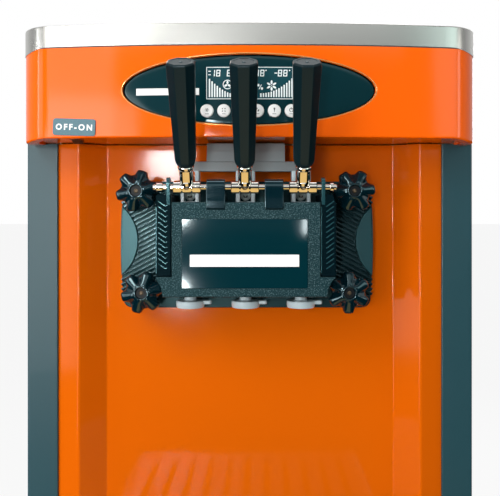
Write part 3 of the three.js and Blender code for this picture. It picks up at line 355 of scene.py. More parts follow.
# The head's speckled moulding: the lighter grains on its bumps are painted glints.
MOULDED = Finish(
    "head_moulding", "black_plastic", (0.001, 0.014, 0.019), 0.42, Pattern.SPECKLE,
    drift=0.3, glint_paint=4.5, specular=0.3, tint=TEAL,
)
BLACK = Finish(
    "black_moulding", "black_plastic", (0.001, 0.01, 0.014), 0.36, Pattern.PAINT,
    spread=0.12, specular=0.35, tint=TEAL,
)
GRIP = Finish(
    "grip_moulding", "black_plastic", (0.001, 0.011, 0.015), 0.34, Pattern.PAINT,
    drift=0.15, specular=0.35, tint=(0.85, 0.95, 1.0),
)
RIB = Finish(
    "rib_moulding", "black_plastic", (0.001, 0.012, 0.016), 0.17, Pattern.GLOSS,
    drift=0.15, specular=0.9, tint=(0.6, 0.93, 1.0),
)
# The black moulding made lighter for the cheeks' raised lines and ear plates: painted highlight along them.
RIDGE_LIT = Finish(
    "ridge_moulding_painted_highlight", "black_plastic", (0.01, 0.045, 0.055), 0.22, Pattern.GLOSS,
    specular=0.8, tint=TEAL,
)
# The black moulding made lighter and teal for the wings' smooth plates: painted light, kept in their colour
# in place of a lamp's.
WING_LIT = Finish(
    "wing_moulding_painted_light", "black_plastic", (0.001, 0.026, 0.035), 0.36, Pattern.PAINT,
    drift=0.3, specular=0.85, tint=TEAL,
)
KNOB = Finish(
    "knob_gloss", "gloss_black", (0.001, 0.012, 0.018), 0.09, Pattern.GLOSS,
    drift=0.15, specular=0.9, tint=(0.66, 0.93, 1.0),
)
# The orange made lighter and half metallic for the display's bead: a painted highlight round the oval's rim,
# on top of its real reflections.
BEAD_LIT = Finish("bead_painted_highlight", "orange_paint", (1.0, 0.42, 0.13), 0.16, Pattern.PAINT, metallic=0.55)
CHEEK = Finish(
    "cheek_moulding", "black_plastic", (0.001, 0.006, 0.009), 0.4, Pattern.PAINT,
    specular=0.03, tint=TEAL,
)
# The knob's black made darker and duller for the floor of its hole: painted shade in the bore.
BORE_SHADE = Finish("knob_bore_painted_shade", "gloss_black", (0.001, 0.004, 0.006), 0.4, Pattern.GLOSS, specular=0.2)
STUD = Finish("stud_end", "zinc_steel", (0.12, 0.09, 0.06), 0.45, Pattern.CAST, 1.0, drift=0.3)
GLASS = Finish(
    "display_gloss", "gloss_black", (0.001, 0.024, 0.031), 0.1, Pattern.GLOSS,
    spread=0.05, tint=(0.75, 0.96, 1.0),
)
LABEL = Finish(
    "label_gloss_film", "gloss_black", (0.001, 0.022, 0.03), 0.06, Pattern.GLOSS,
    spread=0.02, tint=(0.85, 0.98, 1.0),
)
SCREEN = Finish("screen_glass", "gloss_black", (0.004, 0.052, 0.068), 0.14, Pattern.GLOSS, coat=0.5)
MARK = Finish("screen_mark", "white_key", (0.72, 0.78, 0.78), 0.4, Pattern.GLOSS, glow=0.12)
STRIPE = Finish("white_stripe", "white_key", (0.88, 0.88, 0.87), 0.45, Pattern.GLOSS, drift=0.02)
KEY = Finish("key_white", "white_key", (0.86, 0.87, 0.86), 0.35, Pattern.PAINT, coat=0.2, drift=0.04)
ICON = Finish("icon_ink", "gloss_black", (0.03, 0.045, 0.05), 0.5, Pattern.GLOSS)
GREY = Finish("grey_moulding", "grey_plastic", (0.5, 0.61, 0.65), 0.3, Pattern.PAINT, spread=0.06)
CAST = Finish("black_casting", "cast_iron", (0.02, 0.022, 0.024), 0.5, Pattern.CAST, drift=0.3)
BOARD = Finish("board_lacquer", "board_green", (0.01, 0.1, 0.04), 0.3, Pattern.PAINT, coat=0.3)
RUBBER = Finish("tyre_rubber", "wheel_rubber", (0.04, 0.043, 0.047), 0.7, Pattern.RUBBER, drift=0.2)
WORN = Finish("hub_nylon", "grey_plastic", (0.3, 0.32, 0.33), 0.45, Pattern.PAINT, drift=0.15)


# ---- outlines and lifts


def arc(u: float, v: float, radius: float, start: float, end: float, steps: int = 8) -> np.ndarray:
    """Points on a circle's arc: the centre plus the radius times cos and sin of each angle.

    Args:
        u: the centre's first coordinate.
        v: the centre's second coordinate.
        radius: the arc's radius.
        start: first angle in degrees.
        end: last angle in degrees.
        steps: how many chords it has.

    Returns:
        An array of steps + 1 points.
    """
    angle = np.radians(np.linspace(start, end, steps + 1))
    return np.stack([u + radius * np.cos(angle), v + radius * np.sin(angle)], 1)


def ring(u: float, v: float, a: float, b: float, steps: int = 48) -> np.ndarray:
    """An oval outline: the centre plus (a cos t, b sin t)."""
    angle = np.linspace(0, 2 * math.pi, steps, endpoint=False)
    return np.stack([u + a * np.cos(angle), v + b * np.sin(angle)], 1)


def rounded(u: float, v: float, width: float, height: float, radius: float, steps: int = 6) -> np.ndarray:
    """A rectangle outline whose four corners are quarter circles.

    Args:
        u: the centre's first coordinate.
        v: the centre's second coordinate.
        width: its whole width.
        height: its whole height.
        radius: of each corner.
        steps: chords of each corner.

    Returns:
        The outline, anticlockwise.
    """
    x, y = width / 2 - radius, height / 2 - radius
    parts = [(x, y, 0), (-x, y, 90), (-x, -y, 180), (x, -y, 270)]
    return np.concatenate([arc(u + cx, v + cy, radius, turn, turn + 90, steps) for cx, cy, turn in parts])


def box_outline(u0: float, u1: float, v0: float, v1: float) -> np.ndarray:
    """The four corners of a rectangle, anticlockwise."""
    return np.array([[u0, v0], [u1, v0], [u1, v1], [u0, v1]], float)


def normals(points: np.ndarray, closed: bool) -> np.ndarray:
    """Mitred normals of a line, to the right of its direction.

    Each edge's normal is its direction turned back a quarter. A corner's is the sum of its two
    edges' normals over 1 + their product, so that moving along it moves both edges equally.

    Args:
        points: the line's points.
        closed: whether its last point leads back to its first.

    Returns:
        One vector for each point.
    """
    step = np.roll(points, -1, 0) - points
    if not closed:
        step[-1] = step[-2]
    step = step / np.maximum(np.linalg.norm(step, axis=1, keepdims=True), 1e-9)
    after = np.stack([step[:, 1], -step[:, 0]], 1)
    before = np.roll(after, 1, 0)
    if not closed:
        before[0] = after[0]
    return (before + after) / (1 + np.sum(before * after, 1, keepdims=True))


def grown(outline: np.ndarray, distance: float, closed: bool = True) -> np.ndarray:
    """The outline moved outwards by a distance; an anticlockwise one grows."""
    return outline + normals(outline, closed) * distance


def fillet(points: Sequence[Pair], radius: float, steps: int = 5) -> np.ndarray:
    """A line whose inner corners are rounded.

    Each corner gives way to the quadratic curve that it steers, between two points at
    radius * tan(turn / 2) along its edges.

    Args:
        points: the line's points.
        radius: about how round its corners become.
        steps: chords of each corner.

    Returns:
        The line with its corners rounded.
    """
    p = np.array(points, float)
    line = [p[0]]
    share = np.linspace(0, 1, steps + 1)[:, None]
    for before, corner, after in zip(p[:-2], p[1:-1], p[2:]):
        back, ahead = before - corner, after - corner
        reach = min(np.linalg.norm(back), np.linalg.norm(ahead)) / 2
        back, ahead = back / np.linalg.norm(back), ahead / np.linalg.norm(ahead)
        half_turn = math.acos(float(np.clip(np.dot(-back, ahead), -1, 1))) / 2
        run = min(reach, radius * math.tan(half_turn))
        a, b = corner + back * run, corner + ahead * run
        line.extend((1 - share) ** 2 * a + 2 * share * (1 - share) * corner + share**2 * b)
    line.append(p[-1])
    return np.array(line)


def ribbon(line: np.ndarray, thickness: float) -> np.ndarray:
    """The outline of a folded sheet: the line, and back along the line moved left by its thickness."""
    return np.concatenate([line, grown(line, -thickness, closed=False)[::-1]])


def along_x(points: np.ndarray, level: float) -> np.ndarray:
    """Outline (y, z) placed at x = level."""
    return np.stack([np.full(len(points), level), points[:, 0], points[:, 1]], 1)


def along_y(points: np.ndarray, level: float) -> np.ndarray:
    """Outline (x, z) placed at y = level."""
    return np.stack([points[:, 0], np.full(len(points), level), points[:, 1]], 1)


def along_z(points: np.ndarray, level: float) -> np.ndarray:
    """Outline (x, y) placed at z = level."""
    return np.stack([points[:, 0], points[:, 1], np.full(len(points), level)], 1)


def softened(
    low: float, high: float, low_radius: float, high_radius: float, steps: int = 4
) -> list[Pair]:
    """Profile of a slab with rounded edges: a quarter circle at each end.

    Args:
        low: the first level.
        high: the last level.
        low_radius: of the edge at the first level.
        high_radius: of the edge at the last level.
        steps: chords of each edge.

    Returns:
        Pairs of how far the outline moves out, and the level.
    """
    turn = np.radians(np.linspace(0, 90, steps + 1))
    first = [(-low_radius * (1 - math.sin(t)), low + low_radius * (1 - math.cos(t))) for t in turn]
    last = [(-high_radius * (1 - math.cos(t)), high - high_radius * (1 - math.sin(t))) for t in turn]
    return first + last


def strips(ends: np.ndarray, v0: float, v1: float) -> list[np.ndarray]:
    """Rectangles side by side, one between each two neighbouring ends."""
    return [box_outline(float(p), float(q), v0, v1) for p, q in zip(ends[:-1], ends[1:])]


# ---- pieces


class Form:
    """Closed surfaces in millimetres that become one piece."""

    def __init__(self) -> None:
        """Starts with no surface."""
        self.points: list[np.ndarray] = []
        self.faces: list[list[int]] = []
        self.count = 0

    def rings(self, grid: np.ndarray, loop: bool = False) -> Form:
        """Adds a surface of rings, grid[i, j], with quads between neighbours.

        Args:
            grid: places of the points, one closed ring for each i.
            loop: whether the last ring joins the first; otherwise both ends get a flat face.

        Returns:
            This form.
        """
        rows, columns = grid.shape[:2]
        index = np.arange(rows * columns).reshape(rows, columns) + self.count
        ahead = np.roll(index, -1, 1)
        low, high = (index, np.roll(index, -1, 0)) if loop else (index[:-1], index[1:])
        low_ahead, high_ahead = (ahead, np.roll(ahead, -1, 0)) if loop else (ahead[:-1], ahead[1:])
        quads = np.stack([low, low_ahead, high_ahead, high], -1).reshape(-1, 4)
        self.faces.extend(quads.tolist())
        if not loop:
            for row in (0, -1):
                if np.ptp(grid[row], axis=0).max() > 1e-6:
                    self.faces.append(index[row].tolist())
        self.points.append(grid.reshape(-1, 3))
        self.count += rows * columns
        return self

    def stack(self, outline: np.ndarray, profile: Profile, lift: Lift = along_z) -> Form:
        """Adds an outline carried through a profile of (growth, level) pairs."""
        return self.rings(np.stack([lift(grown(outline, grow), level) for grow, level in profile]))

    def slab(
        self, outline: np.ndarray, low: float, high: float, radius: float = 0.0, lift: Lift = along_z
    ) -> Form:
        """Adds a plate between two levels, its edges rounded where a radius is given."""
        profile = softened(low, high, radius, radius) if radius else [(0.0, low), (0.0, high)]
        return self.stack(outline, profile, lift)

    def turned(
        self, origin: Sequence[float], axis: Sequence[float], profile: Profile, steps: int = 40
    ) -> Form:
        """Adds a turned surface: each (radius, height) of the profile is a circle about the axis.

        Args:
            origin: where the height is zero.
            axis: the direction of the height.
            profile: pairs of radius and height.
            steps: points around each circle.

        Returns:
            This form.
        """
        d = np.array(axis, float) / np.linalg.norm(axis)
        side = np.cross(d, [0.0, 0.0, 1.0] if abs(d[2]) < 0.9 else [1.0, 0.0, 0.0])
        side /= np.linalg.norm(side)
        up = np.cross(d, side)
        angle = np.linspace(0, 2 * math.pi, steps, endpoint=False)[None, :, None]
        radius, height = (np.array([pair[k] for pair in profile])[:, None, None] for k in (0, 1))
        around = np.cos(angle) * side + np.sin(angle) * up
        return self.rings(np.array(origin) + height * d + radius * around)

    def bar(
        self, origin: Sequence[float], axis: Sequence[float], radius: float, length: float, edge: float = 0.6
    ) -> Form:
        """Adds a round bar with rounded ends."""
        profile = [(radius + grow, level) for grow, level in softened(0, length, edge, edge, 3)]
        return self.turned(origin, axis, profile)

    def swept(self, line: np.ndarray, profile: Profile) -> Form:
        """Adds a closed profile of (growth, z) pairs carried along a line seen from above."""
        sides = [along_z(grown(line, grow, closed=False), level) for grow, level in profile]
        return self.rings(np.stack(sides, 1))

    def moved(self, turn: Callable[[np.ndarray], np.ndarray]) -> Form:
        """Passes every point so far through a function."""
        self.points = [turn(part) for part in self.points]
        return self

    def mesh(self, name: str) -> bpy.types.Object:
        """Makes the object: doubles merged, faces outwards, places in metres.

        Args:
            name: the object's name.

        Returns:
            The new object, linked to the scene.
        """
        data = bpy.data.meshes.new(name)
        data.from_pydata((np.concatenate(self.points) * MM).tolist(), [], self.faces)
        work = bmesh.new()
        work.from_mesh(data)
        bmesh.ops.remove_doubles(work, verts=work.verts, dist=MERGE)
        bmesh.ops.recalc_face_normals(work, faces=work.faces)
        work.to_mesh(data)
        work.free()
        made = bpy.data.objects.new(name, data)
        bpy.context.scene.collection.objects.link(made)
        return made


class Workshop:
    """Turns forms into dressed pieces that ride on the CAD bodies."""

    def __init__(self, frame: dict) -> None:
        """Keeps the frame and makes the shared effects.
        """
        self.nodes: dict[str, bpy.types.Object] = frame["nodes"]
        bodies = frame["record"]["behaviour"]["bodies"]
        self.body_of = {name: body for body, names in bodies.items() for name in names}
        self.effects = Effects()
        self.dressed: set[str] = set()

    def piece(
        self,
        name: str,
        form: Form,
        finish: Finish,
        rides: str,
        replaces: Sequence[str] = (),
        cutters: Sequence[Form] = (),
        bevel: float = 0.0,
        sharp: float = 32.0,
    ) -> bpy.types.Object:
        """Makes a piece of a form.

        Args:
            name: the piece's name.
            form: its surfaces.
            finish: what it is made of.
            rides: a CAD node or body that it moves with.
            replaces: CAD nodes that it stands for.
            cutters: forms that are cut out of it.
            bevel: width of its rounded edges in millimetres, or none.
            sharp: edges that turn by more degrees than this stay sharp.

        Returns:
            The piece's object.
        """
        made = form.mesh(name)
        made.data.materials.append(finish.material(self.effects))
        for number, cutter in enumerate(cutters):
            tool = cutter.mesh(f"{name}_cut_{number}")
            step = made.modifiers.new("cut", "BOOLEAN")
            step.operation, step.solver, step.object = "DIFFERENCE", "EXACT", tool
            self.settle(made)
            bpy.data.objects.remove(tool)
        if bevel:
            step = made.modifiers.new("edge", "BEVEL")
            step.width, step.segments, step.limit_method = bevel * MM, 2, "ANGLE"
            step.angle_limit = math.radians(BEVEL_TURN)
            step.use_clamp_overlap = True
            self.settle(made)
        made.data.shade_smooth()
        made.data.set_sharp_from_angle(angle=math.radians(sharp))
        step = made.modifiers.new("shade", "WEIGHTED_NORMAL")
        step.keep_sharp = True
        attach(made, self.body_of.get(rides, rides))
        if replaces:
            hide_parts(*replaces)
            self.dressed.update(replaces)
        LOG.info("piece %s: %d faces", name, len(made.data.polygons))
        return made

    @staticmethod
    def settle(made: bpy.types.Object) -> None:
        """Applies an object's modifiers to its mesh.

        Args:
            made: the object, which keeps its name and its mesh's.
        """
        graph = bpy.context.evaluated_depsgraph_get()
        data = bpy.data.meshes.new_from_object(made.evaluated_get(graph))
        old = made.data
        made.modifiers.clear()
        made.data = data
        data.name = old.name
        bpy.data.meshes.remove(old)

    def dress(self, node: str, finish: Finish) -> None:
        """Gives a CAD node a finish and keeps its shape.

        Args:
            node: the node's name.
            finish: what it is made of.
        """
        data = self.nodes[node].data
        data.materials.clear()
        data.materials.append(finish.material(self.effects))
        self.dressed.add(node)


def corners(node: str) -> tuple[np.ndarray, np.ndarray]:
    """Lowest and highest corner of a CAD node in millimetres."""
    low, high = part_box(node)
    return np.array(low) / MM, np.array(high) / MM


def middle(node: str) -> np.ndarray:
    """Centre of a CAD node's box in millimetres."""
    return sum(corners(node)) / 2


def extent(node: str) -> np.ndarray:
    """Width, depth and height of a CAD node's box in millimetres."""
    low, high = corners(node)
    return high - low


@dataclass(frozen=True)
class Bow:
    """The hood's bowed outline seen from above: a shallow arc between two round corners."""

    half: float
    front: float
    corner: float = 45.0
    rise: float = 15.95

    @property
    def radius(self) -> float:
        """Radius of the shallow arc, from its half chord and its rise."""
        chord = self.half - self.corner
        return (chord**2 + self.rise**2) / (2 * self.rise)

    def depth(self, x: np.ndarray | float) -> np.ndarray:
        """The arc's y at x: the front plus R - sqrt(R^2 - x^2)."""
        return self.front + self.radius - np.sqrt(self.radius**2 - np.square(x))

    def line(self, inset: float, back: float, steps: int = 72) -> np.ndarray:
        """The outline drawn inside itself by an inset, from the left side's back to the right's.

        Args:
            inset: how far inside the outline it runs.
            back: y where both sides end.
            steps: chords of the shallow arc.

        Returns:
            Points of the open line, anticlockwise seen from above.
        """
        chord = self.half - self.corner
        turn = math.degrees(math.asin(chord / (self.radius - self.corner)))
        centre = self.front + self.radius
        side = centre - math.sqrt((self.radius - self.corner) ** 2 - chord**2)
        small = self.corner - inset
        return np.concatenate([
            [[-self.half + inset, back]],
            arc(-chord, side, small, 180, 270 - turn, 10),
            arc(0, centre, self.radius - inset, 270 - turn, 270 + turn, steps)[1:-1],
            arc(chord, side, small, 270 + turn, 360, 10),
            [[self.half - inset, back]],
        ])

    def lift(self, points: np.ndarray, level: float) -> np.ndarray:
        """Outline (x, z) laid on the bow, level millimetres behind it."""
        return np.stack([points[:, 0], self.depth(points[:, 0]) + level, points[:, 1]], 1)


# ---- hood, deck and panels


@dataclass
class Head:
    """The bowed hood, the stainless deck above it, and the hopper tubs and lids."""

    shop: Workshop
    bow: Bow
    wall: float = 3.0
    roll: float = 2.0
    lip: float = 15.0
    hood_drop: float = 3.4
    band_drop: float = 5.0
    bevel: float = 2.4
    sink: float = 4.5
    drop_start: float = 236.0
    drop_run: float = 30.0
    drop_back: float = -195.0
    drop_fade: float = 20.0
    drop_height: float = 10.0
    under_back: float = -204.0
    return_middle: float = 253.0
    return_half: float = 21.0
    return_front: float = -216.0
    band_inset: float = -0.6
    band_roll: float = 1.8
    rim: float = 9.0
    tub_depth: float = 172.0
    tub_corner: float = 26.0
    oval: Triple = (143.5, 39.0, 1244.0)

    def build(self) -> None:
        """Makes the hood, its underside, the deck and the hoppers."""
        self.hood()
        self.deck()
        for side in ("left", "right"):
            self.hopper(side)
            self.lid(side)

    def hood(self) -> None:
        """The hood's wall with its rolled edge, and the sloping border cut for the display.

        The wall is a profile carried along the bow. The border is an oval that narrows as it
        goes in, laid on the bow at every depth. A thin round bead runs in it, in a lighter orange
        that paints a highlight round the rim. A thin dark rubber strip runs along the wall's top,
        under the deck's band, and paints the shadow line there.
        """
        low, high = corners("hood")
        turn = np.radians(np.linspace(0, 90, 7))
        roll = [(-self.roll * (1 - math.cos(t)), low[2] + self.roll * (1 - math.sin(t))) for t in turn]
        profile = [
            (0.0, high[2]), *roll, (-self.lip, low[2]), (-self.lip, low[2] + 2), (-self.wall - 2, low[2] + 2),
            (-self.wall, low[2] + 5), (-self.wall, high[2]),
        ]
        line = self.bow.line(0, high[1], 96)
        wide = self.bevel
        depths = [
            (wide + 3.0, -14.0), (wide + 3.0, -3.0), (wide + 1.0, -0.05), (wide + 0.35, 0.3),
            (wide - 0.3, 0.9), (0.15, self.sink), (0.15, 30.0),
        ]
        border = Form().rings(self.ovals(depths))
        wall = Form().swept(line, profile).moved(lambda part: self.lowered(part, low[2], self.hood_drop))
        turns = np.radians(np.linspace(0, 360, 13))[:-1]
        # The bead's lighter, half metallic orange paints a highlight round the rim.
        bead = self.ovals(list(zip(wide - 0.1 + np.cos(turns), 1.1 - np.sin(turns))))
        self.shop.piece("hood_bead", Form().rings(bead, loop=True), BEAD_LIT, "hood")
        self.shop.piece("hood_shell", wall, ORANGE, "hood", ["hood"], [border])
        # A thin dark rubber strip under the band: painted shadow along the hood's top edge.
        shadow_strip = [(grow, high[2] + level) for grow, level in
                ((0.3, -0.9), (0.3, 0.2), (-self.wall, 0.2), (-self.wall, -0.9))]
        self.shop.piece("hood_shadow_strip", Form().swept(line, shadow_strip), RUBBER, "hood")
        self.underside(low, high)

    def ovals(self, depths: Profile) -> np.ndarray:
        """The display's oval laid on the bow, once for each pair of growth and depth."""
        a, b, z = self.oval
        return np.stack([self.bow.lift(ring(0, z, a + grow, b + grow, 128), level) for grow, level in depths])

    def underside(self, low: np.ndarray, high: np.ndarray) -> None:
        """The hood's underside with its notch for the rocker, and its returns along the sides.

        Args:
            low: the hood's lowest corner.
            high: the hood's highest corner.
        """
        foot, top = low[2] + 0.5, low[2] + 2.5
        under = Form().slab(self.bow.line(self.lip - 1, self.under_back), foot, top)
        first, last = corners("power_switch")
        hole = box_outline(first[0] - 1, last[0] + 1, first[1] - 2, last[1] + 2)
        notch = Form().slab(hole, low[2] - 5, low[2] + 8)
        # The underside and the returns wear the darker orange: painted shade under the hood.
        self.shop.piece("hood_underside", under, PANEL_SHADE, "hood", cutters=[notch])
        for side, sign in (("left", -1), ("right", 1)):
            x = sign * self.return_middle
            strip = box_outline(x - self.return_half, x + self.return_half, self.return_front, high[1])
            self.shop.piece(f"hood_return_{side}", Form().slab(strip, foot, top), PANEL_SHADE, "hood")

    def lowered(self, part: np.ndarray, foot: float, drop: float) -> np.ndarray:
        """Draws a lower edge down round the front corners.

        The fall is the drop times a smooth step of how far out a point stands, and fades to
        nothing behind the corner and a little above the foot.

        Args:
            part: places of points.
            foot: z of the lower edge.
            drop: the greatest fall.

        Returns:
            The points' new places.
        """
        out = np.clip((np.abs(part[:, 0]) - self.drop_start) / self.drop_run, 0, 1)
        ahead = np.clip((self.drop_back - part[:, 1]) / self.drop_fade, 0, 1)
        near = np.clip((foot + self.drop_height - part[:, 2]) / self.drop_height, 0, 1)
        fall = drop * out * out * (3 - 2 * out) * ahead * near
        return part - np.stack([0 * fall, 0 * fall, fall], 1)

    def deck(self) -> None:
        """The stainless deck: its outline stacked up to a rolled top edge, hollow underneath."""
        low, high = corners("top_deck")
        rim = self.bow.line(self.band_inset, high[1])
        top_edge = softened(low[2] + 10.1, high[2], 0.0, self.band_roll, 6)[5:]
        body = Form().stack(rim, [(0, low[2]), (0, low[2] + 10), *top_edge])
        body.moved(lambda part: self.lowered(part, low[2], self.band_drop))
        hollow = Form().slab(self.bow.line(self.band_inset + 0.5, high[1] - 1.5), low[2] - 15, high[2] - 3)
        mouths = [Form().slab(self.tub(side, 0.3), low[2] - 5, high[2] + 5) for side in ("left", "right")]
        self.shop.piece("top_deck_shell", body, STEEL_X, "top_deck", ["top_deck"], [hollow, *mouths])

    def tub(self, side: str, grow: float) -> np.ndarray:
        """A hopper's outline from above.

        Args:
            side: left or right.
            grow: how far outside the tub's wall the outline runs.

        Returns:
            A rectangle with round corners.
        """
        x, y, _ = middle(f"hopper_{side}")
        width, depth, _ = extent(f"hopper_{side}") - 2 * self.rim + 2 * grow
        return rounded(x, y, width, depth, self.tub_corner + grow, 8)

    def hopper(self, side: str) -> None:
        """A pressed tub: one shell from the middle of its floor up and over the rim and down outside.

        Args:
            side: left or right.
        """
        node = f"hopper_{side}"
        top = corners(node)[1][2]
        floor = top - self.tub_depth
        base = self.tub(side, 0)
        turn = np.radians(np.linspace(90, 0, 5))
        inside = [(-2 - 10 * (1 - math.cos(t)), floor + 2 + 10 * (1 - math.sin(t))) for t in turn]
        profile = [
            (-24, floor + 2), *inside, (-2, top - 1.5), (-0.5, top), (8.2, top), (9, top - 0.8), (9, top - 2),
            (0, top - 2), (0, floor + 12), (-3.5, floor + 3.5), (-12, floor), (-24, floor),
        ]
        self.shop.piece(f"hopper_tub_{side}", Form().stack(base, profile), STEEL_Y, node, [node])
        x, y, _ = middle(f"feed_tube_{side}")
        drain = [(8.5, -30.0), (12, -30.0), (12, 0.0), (11, 1.2), (8.5, 1.2), (8.5, -30.0)]
        sleeve = Form().turned((x, y, floor + 2), (0, 0, 1), drain)
        self.shop.piece(f"hopper_drain_{side}", sleeve, STEEL_Z, node)

    def lid(self, side: str) -> None:
        """A pressed lid with a raised panel and a moulded handle along it.

        Args:
            side: left or right.
        """
        node = f"hopper_lid_{side}"
        low, high = corners(node)
        base = self.tub(side, 0)
        top = low[2] + 7.5
        profile = [
            (-2.4, low[2]), (-2.4, top - 5), (7.2, top - 5), (8, top - 4.2), (7.6, top - 2.6), (4, top - 1.2),
            (-6, top - 1.2), (-9, top - 0.2), (-13, top), (-24, top),
        ]
        self.shop.piece(f"lid_plate_{side}", Form().stack(base, profile), STEEL_Y, node, [node])
        handle = rounded(*middle(node)[:2], 22, 110, 8)
        grip = [
            (0, top - 0.5), (-2.5, top + 2), (-4.6, top + 5), (-4, top + 9), (-1.5, top + 12),
            (-1.5, high[2] - 1.4), (-3, high[2]),
        ]
        self.shop.piece(f"lid_handle_{side}", Form().stack(handle, grip), BLACK, node)


@dataclass
class Cabinet:
    """The folded front panel, the side panels with their corner columns, and the rear panel."""

    shop: Workshop
    sheet: float = 2.0
    fold: float = 5.0
    column_corner: float = 3.0
    proud: float = 8.0
    folds: tuple[Pair, ...] = ((212, -228), (182, -205))
    strip_depth: float = -216.0
    opening: float = 57.0
    opening_front: float = -215.0
    opening_depth: float = 25.0
    shoulder: float = 1189.7
    step_back: float = -175.7
    rear_face: float = 394.0
    louvres: tuple[tuple[float, float, float, int], ...] = ((95.0, 230.0, 155.0, 9), (0.0, 300.0, 1040.0, 4))
    louvre_pitch: float = 27.0
    screw_columns: tuple[float, ...] = (-258.0, 0.0, 258.0)
    screw_rows: tuple[float, ...] = (122.0, 480.0, 850.0)

    def build(self) -> None:
        """Makes the front, the sides and the back."""
        self.front()
        for side, sign in (("left", -1), ("right", 1)):
            self.side(side, sign)
        self.rear()

    def front(self) -> None:
        """One sheet whose line from above is folded at the ridges, with soft bends."""
        low, high = corners("front_panel")
        folds = [(float(high[0]), self.strip_depth), *self.folds]
        line = fillet([*[(-x, y) for x, y in folds], *reversed(folds)], self.fold, 6)
        form = Form().slab(ribbon(line, self.sheet), low[2], high[2])
        openings = []
        for node in ("beater_left", "beater_right"):
            x, _, z = middle(node)
            place = (x, self.opening_front, z)
            openings.append(Form().bar(place, (0, 1, 0), self.opening, self.opening_depth))
        # The sheet wears the darker orange: painted shade from the hood above it.
        self.shop.piece("front_panel_sheet", form, PANEL_SHADE, "front_panel", ["front_panel"], openings, sharp=50)

    def side(self, side: str, sign: int) -> None:
        """A side panel: its column's return, front, round corner and side are one folded line.

        Above the shoulder it starts behind the hood's corner, as a flat sheet with narrow edges.

        Args:
            side: left or right.
            sign: -1 for the left, which is the right one mirrored.
        """
        node = f"{side}_side_panel"
        low, high = corners(node)
        inner, outer = sorted((abs(low[0]), abs(high[0])))
        bend = self.column_corner
        line = np.concatenate([
            fillet([(inner, low[1] + 3), (inner, low[1]), (outer - bend, low[1])], 2.0)[:-1],
            arc(outer - bend, low[1] + bend, bend, -90, 0, 5),
            [[outer, high[1]]],
        ])
        shoulder, step = self.shoulder, self.step_back
        edge = outer - self.proud
        form = Form().slab(ribbon(line, self.sheet), low[2], shoulder)
        form.slab(box_outline(outer - self.sheet, outer, step, high[1]), shoulder - 0.5, high[2])
        form.slab(box_outline(edge - 3, outer - 1, low[1] + 1, step + 2), shoulder - 2, shoulder)
        form.slab(box_outline(edge - 3, outer - 1, step, high[1]), high[2] - 2, high[2])
        form.slab(box_outline(edge + 0.3, outer - 1, step, step + 2), shoulder - 1, high[2] - 0.5)
        if sign < 0:
            form.moved(lambda part: part * np.array([-1.0, 1.0, 1.0]))
        self.shop.piece(f"{side}_panel_sheet", form, COLUMN, node, [node], sharp=50)

    def rear(self) -> None:
        """The rear panel keeps its CAD sheet and gets pressed louvre blades and screws.

        A field of louvres has its middle's x, its width, its lowest blade's z and its blades.
        """
        self.shop.dress("rear_panel", COLUMN)
        _, high = corners("rear_panel")
        face = self.rear_face
        blades = Form()
        for x, width, foot, count in self.louvres:
            for z in foot + np.arange(count) * self.louvre_pitch:
                bends = [(face - 0.5, z - 1), (face + 4, z + 1), (face + 1, z + 12), (face - 0.5, z + 12.5)]
                blade = ribbon(fillet(bends, 2, 3), -0.8)
                blades.slab(blade, x - width / 2, x + width / 2, lift=along_x)
        self.shop.piece("louvre_blades", blades, COLUMN, "rear_panel")
        heads = Form()
        dome = [(5.2, -0.3), (5.2, 0.8), (4, 2), (1.8, 2.3), (1.2, 1.2), (0, 1.2)]
        for x in self.screw_columns:
            for z in (*self.screw_rows, high[2] - 10):
                heads.turned((x, face, z), (0, 1, 0), dome, 20)
        self.shop.piece("panel_screws", heads, ZINC, "rear_panel")


# ---- display and switch


